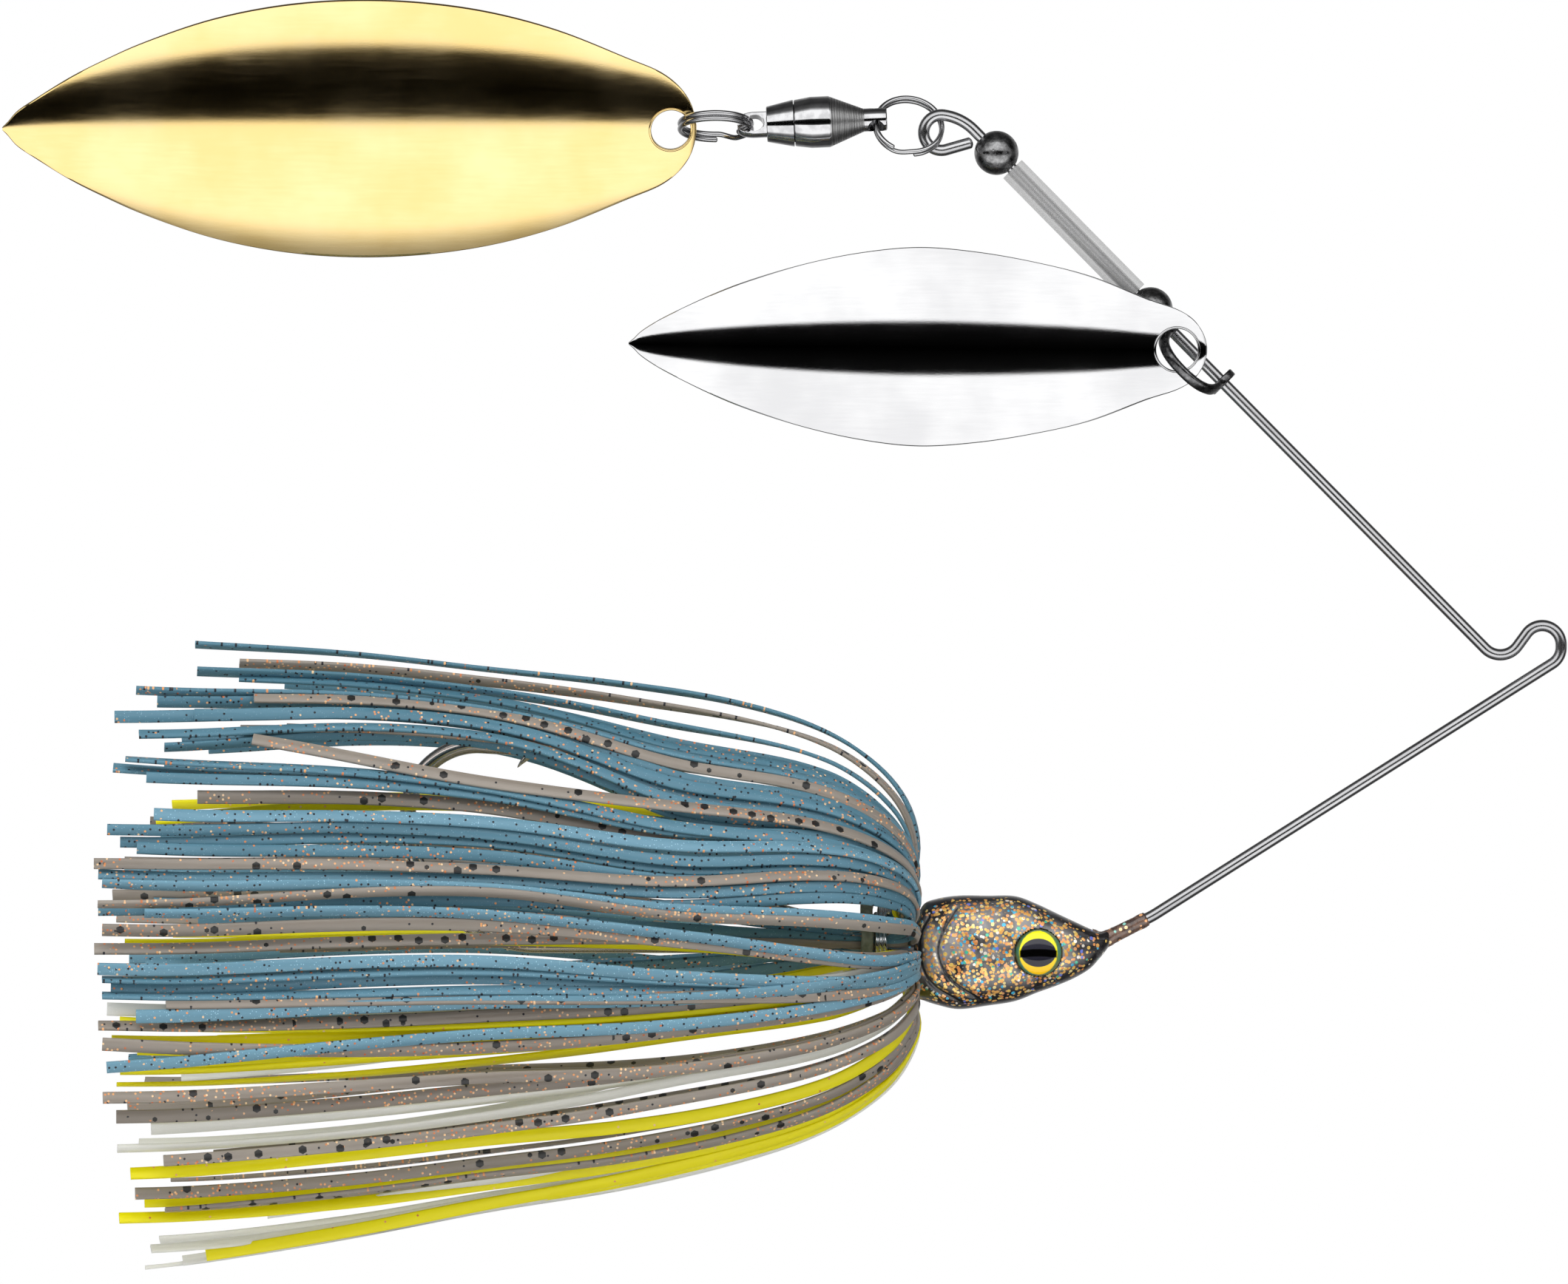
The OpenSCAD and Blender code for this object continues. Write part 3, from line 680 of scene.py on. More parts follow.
RISE = 45.4
d2 = np.array([-math.cos(math.radians(RISE)), math.sin(math.radians(RISE))])
n2 = np.array([math.sin(math.radians(RISE)), math.cos(math.radians(RISE))])
DIR = np.array([d2[0], 0, d2[1]])


def arm(s, k=0.0):
    p = s * d2 + (-3.72 + k) * n2
    return float(p[0]), float(p[1])


def arm3(s, k=0.0):
    x, z = arm(s, k)
    return np.array([x, 0.0, z])


def wire_ends():
    """The two runs of the wire from the middle of the arm, upwards and downwards."""
    s0 = 3.2
    c = np.array(arm(s0, 1.83))
    L = math.sqrt(float(c @ c) - (1.83 + 1.63) ** 2)
    h12 = math.degrees(math.atan2(-c[1], -c[0])) + math.degrees(math.atan2(1.83 + 1.63, L))
    down = [["A", 1.83, h12 + RISE], ["L", L], ["A", 1.63, -(h12 + 90)], ["L", 0.255], ["A", 1.63, -57.75],
            ["L", 40.2], ["A", 8, -5.75], ["L", 3.9], ["A", 2, -26.5], ["L", 4.5], ["A", 0.8, 90], ["L", 1.3]]
    up = [["L", 62.5], ["A", 4.45, 38.1], ["A", 1.52, 203.3], ["L", 2.1]]
    return turtle(arm(s0), 180 - RISE, up)[0], turtle(arm(s0), -RISE, down)[0]


up_pts, down_pts = wire_ends()
wire_path = flat3(up_pts[::-1] + down_pts[1:])
V, F, O = rounded_bar(wire_path, 0.5, 28, (0, 1, 0))
wire = put(Build().add(V, F, O).make("bent_wire", wire_m), "wire_form", "wire", "wire_frame")

# ------------------------------------------------------------------ head
HEAD = [(-53.9, -24.8, -28.8, 1.8), (-53.6, -23.2, -30.3, 2.7), (-53.0, -22.2, -30.6, 3.2), (-51.9, -21.8, -30.95, 3.6),
        (-50.2, -21.55, -31.3, 3.8), (-47.6, -21.55, -31.0, 3.85), (-45.2, -21.6, -30.6, 3.7), (-43.4, -22.25, -29.9, 3.45),
        (-41.6, -23.1, -29.25, 3.1), (-40.1, -23.8, -28.6, 2.65), (-38.8, -24.4, -27.8, 2.1), (-38.0, -24.7, -26.95, 1.6),
        (-37.4, -24.6, -26.2, 1.0), (-37.1, -24.6, -25.7, 0.6)]
GILLS = [[(-50.3, -22.6), (-51.3, -24.2), (-51.9, -26.2), (-51.4, -27.9), (-50.4, -29.1), (-48.4, -30.4)],
         [(-52.6, -23.3), (-53.25, -24.6), (-53.45, -26.2), (-53.1, -27.9), (-52.2, -29.3), (-50.0, -30.6)]]


def groove_at(x, z):
    best = np.full(np.shape(x), 9.0)
    for g in GILLS:
        line = catmull([(a, 0, b) for a, b in g], 70)[:, (0, 2)]
        d = np.sqrt((x[..., None] - line[:, 0]) ** 2 + (z[..., None] - line[:, 1]) ** 2).min(-1)
        best = np.minimum(best, d)
    return best


def cast_head():
    prof = catmull(HEAD, 190)
    N = 168
    a = np.arange(N) * 2 * math.pi / N
    c, s = np.cos(a), np.sin(a)
    sp = lambda v: np.sign(v) * np.abs(v) ** 0.85
    x = np.repeat(prof[:, :1], N, 1)
    y = prof[:, 3:4] * sp(c)[None]
    z = (prof[:, 1:2] + prof[:, 2:3]) / 2 + (prof[:, 1:2] - prof[:, 2:3]) / 2 * sp(s)[None]
    g = groove_at(x, z)
    side = np.clip((np.abs(y) - 0.9) / 1.2, 0, 1)
    dent = np.exp(-(g / 0.20) ** 2) * side
    lip = np.exp(-((g - 0.5) / 0.25) ** 2) * side
    # soft hollows and ridges of a hand-finished casting
    lump = 0.05 * np.sin(x * 1.9 + z * 0.7) * np.sin(z * 2.3 - x * 0.4)
    k = 1 - (0.26 * dent - 0.06 * lip - lump) / 3.6
    y = y * k
    zc = (prof[:, 1:2] + prof[:, 2:3]) / 2
    z = zc + (z - zc) * (1 - (0.10 * dent) / 4.5)
    # the eye sits in a flat-bottomed pocket
    r = np.sqrt((x - EYE[0]) ** 2 + (z - EYE[1]) ** 2)
    floor_ = 2.62 + np.clip((r - 2.02) / 0.10, 0, 1) * 3
    y = np.where((r < 2.12) & (np.abs(y) > floor_), np.sign(y) * floor_, y)
    V = np.stack([x, y, z], 2)
    M = len(prof)
    F = [[i * N + j, (i + 1) * N + j, (i + 1) * N + (j + 1) % N, i * N + (j + 1) % N] for i in range(M - 1) for j in range(N)]
    V = np.concatenate([V.reshape(-1, 3), [[prof[0, 0], 0, (prof[0, 1] + prof[0, 2]) / 2], [prof[-1, 0] + 0.12, 0, (prof[-1, 1] + prof[-1, 2]) / 2]]])
    F += [[M * N, j, (j + 1) % N] for j in range(N)]
    F += [[M * N + 1, (M - 1) * N + (j + 1) % N, (M - 1) * N + j] for j in range(N)]
    # the tint attribute carries the gill-groove mask, which the paint uses for painted shade in the grooves
    tint = np.concatenate([(dent * 0.9 + 0.1).ravel(), [0.1, 0.1]])
    b = Build().add(V, F, tint=tint)
    seat = fillet([(-60.2, 0.0), (-60.2, 1.5), (-53.2, 1.5), (-53.2, 0.0)], 0.2, closed=False)
    V, F, O = lathe(seat, (0, 0, -25.8), (1, 0, 0), 48, closed=False)
    b.add(V, F, tint=0.1)
    return b.make("cast_head", head_m, 40)


head = put(cast_head(), "wire_form", "head_paint", "head")

# paint run on the wire in front of the nose
q0, h0 = turtle(arm(3.2), -RISE, [["A", 1.83, 0]])
nose_i = len(down_pts) - 1
path_len = np.concatenate([[0], np.cumsum(np.linalg.norm(np.diff(flat3(down_pts), axis=0), axis=1))])
nose_s = float(path_len[-1]) - (1.3 + 0.8 * math.pi / 2 + 4.5 + 2 * math.radians(26.5) + 3.9)
ss = np.linspace(nose_s + 0.1, nose_s + 5.2, 46)
dp = flat3(down_pts)
NP = np.stack([np.interp(ss, path_len, dp[:, k]) for k in range(3)], 1)
rng = np.random.RandomState(5)
rr = np.interp(ss - ss[0], [0, 0.12, 0.5, 1.2, 3.2, 4.4, 5.1], [0.53, 0.62, 0.66, 0.63, 0.67, 0.78, 1.05]) + rng.uniform(-0.012, 0.012, 46)
V, F, O = sweep(NP, np.stack([circle(r, 28) for r in rr]), (0, 1, 0))
put(Build().add(V, F, O).make("nose_paint_run", nose_m), "wire_form", "head_paint")

# eyes: printed disc under a clear dome, with a thin seating rim
for m, side in ((-1, "near"), (1, "far")):
    prof = fillet([(0.0, 0.0), (0.0, 2.0), (0.20, 2.0), (0.20, 0.0)], 0.05, closed=False)
    V, F, O = lathe(prof, (EYE[0], m * 2.75, EYE[1]), (0, m, 0), 72, closed=False, ref=(1, 0, 0))
    put(Build().add(V, F).make("eye_print_" + side, iris_m), "wire_form", "eye_print", "eye_iris_" + side)
    dome = [(0.0, 0.0), (0.0, 1.97), (0.06, 2.0)] + [(0.06 + 0.69 * math.sin(t), 2.0 * math.cos(t) ** 0.92) for t in np.linspace(0.12, math.pi / 2 - 0.06, 18)] + [(0.75, 0.0)]
    V, F, O = lathe(dome, (EYE[0], m * 2.97, EYE[1]), (0, m, 0), 72, closed=False, ref=(1, 0, 0))
    put(Build().add(V, F).make("eye_dome_" + side, lens_m), "wire_form", "eye_lens", "eye_lens_" + side)

# ------------------------------------------------------------------ hook
hk, hh = turtle((-45.0, -26.42), 173.6, [["L", 5.5], ["A", 3, 6.4], ["L", 35.4], ["A", 11.18, -90], ["A", 5.97, -93.4], ["L", 3.9]])
hd = np.array([math.cos(math.radians(hh)), 0, math.sin(math.radians(hh))])
P = flat3(hk)
end = P[-1]
spear = [(0.8, 0.98), (1.6, 0.93), (2.6, 0.84), (3.6, 0.70), (4.5, 0.53), (5.3, 0.34), (5.9, 0.19), (6.35, 0.05)]
PP = np.concatenate([P, [end + hd * a for a, b in spear]])
RR = np.concatenate([np.full(len(P), 0.7), [0.7 * b for a, b in spear]])
# forged flat on both sides round the bend
flatness = np.ones(len(PP))
for i, p in enumerate(PP):
    if p[0] < -86:
        flatness[i] = 0.90
sect = []
for r, fl, i in zip(RR, flatness, range(len(PP))):
    c = circle(r, 28)
    if i >= len(P) - 2:  # ground facets on the point
        e = 2.6
        ang = np.arctan2(c[:, 1], c[:, 0])
        q = (np.abs(np.cos(ang)) ** e + np.abs(np.sin(ang)) ** e) ** (-1 / e)
        c = np.stack([r * q * np.cos(ang), r * 0.94 * q * np.sin(ang)], 1)
    c[:, 1] *= fl
    sect.append(c)
b = Build()
V, F, O = sweep(PP, np.stack(sect), (0, 1, 0))
b.add(V, F, O)
# barb: a thin raised spur cut from the spear's inner side
bx = end + hd * 0.4
spur = []
for t, w, h in ((0.0, 0.40, 0.35), (0.35, 0.34, 0.30), (0.8, 0.26, 0.24), (1.3, 0.17, 0.17), (1.75, 0.09, 0.10), (2.0, 0.03, 0.03)):
    spur.append((bx + np.array([-0.80 * t, 0, -0.42 - 0.62 * t]) + np.array([0.10 * t * t, 0, 0]), w, h))
V, F, O = sweep(np.array([s[0] for s in spur]), np.stack([circle(s[1], 14, s[2]) for s in spur]), (0, 1, 0))
b.add(V, F, O)
t = np.linspace(0, 2 * math.pi, 60, endpoint=False)
V, F, O = sweep(np.stack([-43.5 + 1.5 * np.cos(t), 0 * t, -26.6 + 1.5 * np.sin(t)], 1) * 1.0, circle(0.6, 16), (0, 1, 0), closed=True)
V = np.stack([V[:, 0], V[:, 2] + 26.6, V[:, 1] - 26.6], 1)
b.add(V, [q[::-1] for q in F], O)
put(b.make("bait_hook", hook_m, 50), "wire_form", "hook_nickel", "hook")

# ------------------------------------------------------------------ collar
SZ = -25.8
band = fillet([(-58.5, 3.16), (-58.5, 4.05), (-57.45, 4.05), (-57.45, 3.16)], 0.22, 4)[::-1]
V, F, O = lathe(band, (0, 0, SZ), (1, 0, 0), 96)
F = [q[::-1] for q in F]
# rubber that bulges a little where strands press on it
a = np.arctan2(V[:, 2] - SZ, V[:, 1])
r0 = np.hypot(V[:, 1], V[:, 2] - SZ)
r1 = r0 * (1 + 0.012 * np.sin(a * 7 + 0.4) + 0.008 * np.sin(a * 13))
V = np.stack([V[:, 0] + 0.04 * np.sin(a * 5), V[:, 1] * r1 / r0, SZ + (V[:, 2] - SZ) * r1 / r0], 1)
put(Build().add(V, F, O).make("collar_band", band_m), "wire_form", "band_rubber", "skirt_band")
t = np.linspace(0, 3 * 2 * math.pi, 260)
turns = np.stack([-57.2 + 1.1 * t / t[-1], 3.36 * np.cos(t + 2.2), SZ + 3.36 * np.sin(t + 2.2)], 1)
side = np.repeat([[1.0, 0, 0]], len(t), 0)
V, F, O = rounded_bar(turns, 0.20, 14, side)
b = Build().add(V, F, O)
tw = np.linspace(0, 5 * 2 * math.pi, 120)
for ph in (0, math.pi):
    z = np.linspace(0, 1.7, 120)
    base = np.array([-56.7, 3.36 * math.cos(0.7), SZ + 3.36 * math.sin(0.7)])
    line = base + np.stack([0.16 * np.cos(tw + ph), 0.2 * z + 0.16 * np.sin(tw + ph) - 0.2, 0.25 * z], 1) + np.array([0, 0.9, 0]) * (z / 1.7)[:, None] * 0.4
    V, F, O = rounded_bar(line, 0.13, 10, (1, 0, 0))
    b.add(V, F, O)
put(b.make("collar_wire", tie_m), "wire_form", "tie_wire", "skirt_tie_wire")

# ------------------------------------------------------------------ skirt strands
SHELL = [(-60.0, 2.2, 0), (-57.6, 2.55, 0), (-55.9, 2.95, 0), (-54.75, 4.0, 0.05), (-54.0, 5.7, 0.25), (-53.6, 8.0, 0.6), (-54.2, 10.5, 1.0), (-55.8, 13.1, 1.1),
         (-59.0, 15.8, 1.2), (-63.1, 17.9, 1.2), (-69.7, 19.9, 1.1), (-79.1, 21.7, 0.8), (-90.8, 23.3, 0.5), (-102.6, 25.1, 0.0),
         (-115.7, 26.6, -0.7), (-123.9, 27.3, -0.9)]
shell_line = catmull(SHELL, 240)
INNER = [(-57.0, 2.4, 0), (-60.5, 2.9, 0), (-66.0, 4.6, 0), (-75.0, 7.4, 0), (-90.0, 11.2, 0), (-105.0, 14.0, -0.3), (-123.9, 16.5, -0.6)]
inner_line = catmull(INNER, 160)
# colour, tail place, layer, angle round the shank in front, half way and at the tail, tint
ROWS = [
    ("B", -115.9, 1.00, 90, 90, 90, 0.20), ("S", -111.9, 0.97, 74, 79, 76, 0.50), ("B", -115.6, 0.95, 64, 74, 73, 0.30),
    ("B", -112.0, 0.93, 55, 72, 74, 0.10), ("B", -120.4, 0.99, 48, 60, 59, 0.30), ("B", -118.6, 0.96, 42, 59, 58, 0.20),
    ("S", -110.6, 0.99, 45, 58, 57, 0.60), ("B", -122.3, 0.94, 38, 57, 53, 0.40), ("B", -115.5, 0.98, 39, 55, 52, 0.20),
    ("S", -111.5, 0.95, 47, 51, 50, 0.40), ("B", -120.0, 0.97, 34, 51, 47, 0.25), ("B", -118.1, 0.93, 33, 51, 46, 0.15),
    ("B", -116.5, 0.90, 32, 55, 50, 0.35), ("S", -110.6, 1.00, 32, 36, 45, 0.70), ("B", -121.1, 0.98, 27, 35, 39, 0.30),
    ("B", -119.3, 0.96, 25, 34, 36, 0.20), ("B", -122.2, 0.92, 27, 37, 40, 0.45), ("S", -115.0, 0.90, 24, 33, 34, 0.30),
    ("C", -118.7, 0.80, 33, 37, 33, 0.50), ("B", -118.6, 1.00, 20, 26, 28, 0.95), ("B", -122.6, 0.97, 17, 24, 25, 0.30),
    ("B", -121.5, 0.93, 15, 23, 24, 0.15), ("B", -120.3, 0.95, 12, 20, 21, 0.20), ("S", -123.7, 0.99, 12, 16, 17, 0.55),
    ("B", -123.5, 0.96, 9, 14, 16, 0.40), ("B", -122.9, 1.00, 7, 12, 14, 0.80), ("S", -123.4, 1.00, 5, 11, 10, 0.60),
    ("B", -119.3, 1.00, 3, 6, 8, 0.90), ("B", -123.3, 0.94, 6, 9, 10, 0.20), ("S", -122.9, 0.97, 1, 4, 6, 0.40),
    ("C", -121.3, 0.82, 0, 1, 3, 0.40), ("S", -123.6, 0.90, 2, 1, 2, 0.70), ("B", -123.3, 1.00, -8, -4, -1, 0.85),
    ("B", -122.9, 0.98, -9, -6, -3, 0.35), ("B", -122.2, 0.95, -11, -8, -5, 0.20), ("B", -123.1, 0.97, -12, -10, -7, 0.50),
    ("S", -117.6, 0.99, -13, -12, -9, 0.45), ("B", -120.0, 1.00, -15, -13, -10, 0.90), ("P", -122.7, 0.90, -15, -14, -10, 0.50),
    ("S", -123.3, 0.95, -17, -16, -13, 0.30), ("C", -121.7, 0.93, -19, -18, -12, 0.60), ("C", -122.2, 0.90, -21, -20, -16, 0.30),
    ("C", -120.3, 0.88, -24, -24, -19, 0.80), ("C", -121.5, 0.92, -24, -25, -22, 0.50), ("C", -122.1, 0.86, -28, -30, -27, 0.35),
    ("B", -122.7, 1.00, -21, -20, -20, 0.95), ("S", -122.9, 0.98, -23, -23, -16, 0.50), ("S", -122.9, 1.00, -33, -30, -26, 0.40),
    ("S", -121.8, 0.96, -34, -34, -31, 0.25), ("P", -119.1, 0.90, -38, -40, -37, 0.60), ("P", -121.8, 0.93, -39, -43, -40, 0.40),
    ("S", -117.9, 1.00, -42, -44, -41, 0.65), ("C", -120.8, 0.95, -52, -50, -45, 0.50), ("S", -120.5, 0.97, -57, -57, -51, 0.35),
    ("C", -119.7, 0.93, -64, -64, -56, 0.70), ("C", -121.8, 0.97, -68, -68, -58, 0.55), ("P", -119.4, 0.97, -82, -85, -74, 0.30),
    ("S", -118.1, 0.99, -63, -61, -55, 0.50), ("C", -114.6, 1.00, -72, -77, -78, 0.45), ("C", -112.9, 0.98, -80, -90, -90, 0.75),
    ("P", -120.3, 1.00, -87, -90, -90, 0.40), ("P", -109.3, 0.96, -71, -67, -64, 0.70),
]


def strand(b, x_tail, layer, pf, pm, pt, tint, seed, far=False, width=1.05, thick=0.34, line=None, window=True):
    rnd = random.Random(seed)
    L = shell_line if line is None else line
    L = L[L[:, 0] >= x_tail] if line is not None else np.concatenate([L[:60], L[60:][L[60:, 0] >= x_tail]])
    n = 74
    s = np.concatenate([[0], np.cumsum(np.hypot(np.diff(L[:, 0]), np.diff(L[:, 1])))])
    u = np.concatenate([np.linspace(0, 0.33, 34, endpoint=False), np.linspace(0.33, 1, n - 34)]) * s[-1]
    X, R, Zo = (np.interp(u, s, L[:, k]) for k in range(3))
    k = u / s[-1]
    if line is None:
        front = np.clip((X + 61) / 5, 0, 1)
        X = X - (1 - layer) * 9.0 * front * np.clip((R - 3) / 3, 0, 1)
        R = np.where(R > 2.4, 2.4 + (R - 2.4) * layer, R)
    else:
        R = R * layer
    # the angle round the shank: held at the front, then easing to its value half way and at the tail
    xs = np.array([x_tail, -91.0, -64.0, -50.0])
    ps = pf
    if line is None and window and -14 < pf < 26 and seed not in (26, 27):
        ps = pf + 7 if pf > 4 else -15 + (pf + 5) * 0.6
    elif seed in (26, 27):
        ps = pf - 3
    ph = catmull([(x_tail, pt), (-91.0, pm), (-73.0, pf + 0.22 * (ps - pf)), (-63.0, pf + 0.62 * (ps - pf)), (-55.0, ps), (-50.0, ps)], 80)
    phi = np.interp(X, ph[::-1, 0] if ph[0, 0] > ph[-1, 0] else ph[:, 0], ph[::-1, 1] if ph[0, 0] > ph[-1, 0] else ph[:, 1])
    wob = rnd.uniform(0.2, 0.8) * np.sin(k * rnd.uniform(4, 8) + rnd.uniform(0, 6)) * k
    phi = np.radians(phi + wob * 1.2)
    if far:
        phi = math.pi - phi
    flat = np.where(R < 5, 1.0, 1 - 0.15 * np.clip((R - 5) / 6, 0, 1))
    R = R - 0.1
    drift = (1 - np.abs(np.sin(phi))) * 0
    Y = -R * flat * np.cos(phi) + drift
    Z = SZ + Zo + R * np.sin(phi)
    P = np.stack([X, Y, Z], 1)
    # width lies along the surface, with a slow twist towards the tail
    around = np.stack([0 * X, flat * np.sin(phi), np.cos(phi)], 1)
    T = unit(np.gradient(P, axis=0))
    around = unit(around - (around * T).sum(1, keepdims=True) * T)
    out = np.cross(T, around)
    tw = rnd.uniform(-0.45, 0.45) + rnd.uniform(-1.1, 1.1) * k ** 1.3 + rnd.uniform(0, 0.35) * np.sin(k * rnd.uniform(5, 11) + rnd.uniform(0, 6)) * k
    if abs(pm) > 66:
        tw = tw + rnd.uniform(0.5, 1.0) * np.clip(k * 3 - 0.4, 0, 1)
    side = np.cos(tw)[:, None] * around + np.sin(tw)[:, None] * out
    w = width * np.interp(k, [0, 0.05, 0.16, 1], [0.45, 0.55, 1.0, 1.0])
    c = 0.09
    h = thick / 2
    sect = np.stack([np.array([(-h, -q / 2 + c), (-h + c, -q / 2), (h - c, -q / 2), (h, -q / 2 + c), (h, q / 2 - c), (h - c, q / 2), (-h + c, q / 2), (-h, q / 2 - c)]) for q in w])
    V, F, O = sweep(P, sect, side)
    O = np.stack([O[:, 0] + seed * 137.0, O[:, 2], O[:, 1]], 1)
    b.add(V, F, O, tint)


groups = {"B": Build(), "S": Build(), "C": Build(), "P": Build()}
rnd = random.Random(11)
for i, (c, xt, lay, pf, pm, pt, tint) in enumerate(ROWS):
    strand(groups[c], xt, lay, pf, pm, pt, tint, i + 1, width=rnd.uniform(0.92, 1.16))
# the far side carries the same colours at the same heights
far_rows = [r for i, r in enumerate(ROWS) if i % 3 != 1 and r[3] < 60]
for i, (c, xt, lay, pf, pm, pt, tint) in enumerate(far_rows):
    strand(groups[c], xt + rnd.uniform(-1, 4), max(0.85, lay - 0.01), pf + rnd.uniform(-3, 3), pm + rnd.uniform(-1.5, 1.5), pt + rnd.uniform(-1.5, 1.5),
           rnd.uniform(0.1, 0.7), i + 101, far=True, width=rnd.uniform(0.9, 1.1))
# strands that leave the back of the collar, their tint kept at the dark end as painted shade under the flared outer
# strands
for i, (c, ang) in enumerate((("B", 12), ("B", 32), ("S", 2), ("B", -14), ("B", -30), ("C", -48), ("P", -64), ("S", 50),
                              ("B", 170), ("S", 150), ("B", 192), ("C", 214), ("P", 236), ("B", 132))):
    near = ang if ang < 90 else 180 - ang
    strand(groups[c], rnd.uniform(-120, -108), rnd.uniform(0.75, 1.05), near, near, near * 0.9, rnd.uniform(0.1, 0.35), i + 201, far=ang >= 90, line=inner_line)
for key, node, name, m in (("B", "skirt_blue", "strands_blue", blue_m), ("S", "skirt_smoke", "strands_smoke", smoke_m),
                           ("C", "skirt_chartreuse", "strands_chartreuse", chart_m), ("P", "skirt_pearl", "strands_pearl", pearl_m)):
    put(groups[key].make(name, m, 50), "wire_form", "silicone_" + node[6:], node)

# ------------------------------------------------------------------ beads and sleeve
for name, s, node in (("bead_upper", 62.95, "upper_bead"), ("bead_lower", 44.1, "lower_bead")):
    R, rb = 1.9, 0.56
    a0 = math.asin(rb / R)
    prof = [(-R * math.cos(t), R * math.sin(t)) for t in np.linspace(a0 + 0.05, math.pi - a0 - 0.05, 44)]
    e = R * math.cos(a0)
    prof += [(e - 0.01, rb + 0.05), (e - 0.09, rb)] + [(v, rb) for v in np.linspace(e - 0.4, -e + 0.4, 6)] + [(-e + 0.09, rb), (-e + 0.01, rb + 0.05)]
    V, F, O = lathe(prof, arm3(s), DIR, 64)
    put(Build().add(V, F, O).make(name, bead_m, 50), node, "bead_gunmetal", node)
prof = fillet([(0, 0.6), (0, 1.125), (15.0, 1.125), (15.0, 0.6)], 0.07, 3)
V, F, O = lathe(prof, arm3(46.0), DIR, 64)
put(Build().add(V, F, O).make("vinyl_sleeve", tube_m, 40), "wire_form", "sleeve_vinyl", "spacer_sleeve")

# ------------------------------------------------------------------ clevis
D, U, W = axes(DIR, (1, 0, 0))
th = math.radians(65)


def clevis_piece():
    """A stamped strap: a flat tab at each end with a hole for the wire, and a bow between them."""
    C = arm3(38.45)
    # the strap's own axes: out from the wire, across, and along the wire
    x0 = np.array([n2[0], 0, n2[1]])
    # turn the outward direction about the wire
    k = DIR
    base = -np.cross(np.array([0, 1.0, 0]), k)
    out = base * math.cos(th) + np.cross(k, base) * math.sin(th)
    across = np.cross(k, out)
    b = Build()
    for m in (-1, 1):
        prof = fillet([(-0.34, 0.57), (-0.34, 1.28), (0.34, 1.28), (0.34, 0.57)], 0.14, 3)[::-1]
        V, F, O = lathe(prof, C + m * 3.1 * k, k, 48)
        b.add(V, [q[::-1] for q in F], O)
    line = [(0.85, -3.1), (1.35, -3.1)]
    for t in np.linspace(-88, 88, 41):
        c, s = math.cos(math.radians(t)), math.sin(math.radians(t))
        q = (abs(c) ** 2.3 + abs(s) ** 2.3) ** (-1 / 2.3)
        line.append((1.5 + 3.0 * q * c, 3.1 * q * s))
    line += [(1.35, 3.1), (0.85, 3.1)]
    P = np.array([C + a * out + z * k for a, z in line])
    w = np.interp(np.arange(len(P)), [0, 4, 10, len(P) - 11, len(P) - 5, len(P) - 1], [0.62, 0.60, 0.46, 0.46, 0.60, 0.62])
    sect = []
    for q in w:
        a = np.arange(20) * 2 * math.pi / 20
        e = 3.0
        r = (np.abs(np.cos(a)) ** e + np.abs(np.sin(a)) ** e) ** (-1 / e)
        sect.append(np.stack([0.33 * r * np.cos(a), q * r * np.sin(a)], 1))
    V, F, O = sweep(P, np.stack(sect), across)
    b.add(V, F, O)
    return b.make("stamped_clevis", clevis_m, 45)


put(clevis_piece(), "clevis", "clevis_nickel", "clevis")

# ------------------------------------------------------------------ blades
GOLD = [(0, 0.012), (0.008, 0.055), (0.02, 0.13), (0.05, 0.24), (0.1, 0.405), (0.15, 0.54), (0.2, 0.66), (0.3, 0.845), (0.4, 0.955), (0.5, 0.998), (0.6, 0.982),
        (0.7, 0.908), (0.8, 0.765), (0.9, 0.55), (0.95, 0.435), (0.975, 0.33), (0.99, 0.22), (0.997, 0.12), (1, 0.03)]
SILVER = [(0, 0.012), (0.008, 0.05), (0.02, 0.12), (0.05, 0.235), (0.1, 0.385), (0.15, 0.52), (0.2, 0.635), (0.3, 0.815), (0.4, 0.94), (0.5, 1.0), (0.6, 0.96),
          (0.7, 0.865), (0.8, 0.725), (0.9, 0.5), (0.95, 0.4), (0.975, 0.31), (0.99, 0.2), (0.997, 0.11), (1, 0.03)]


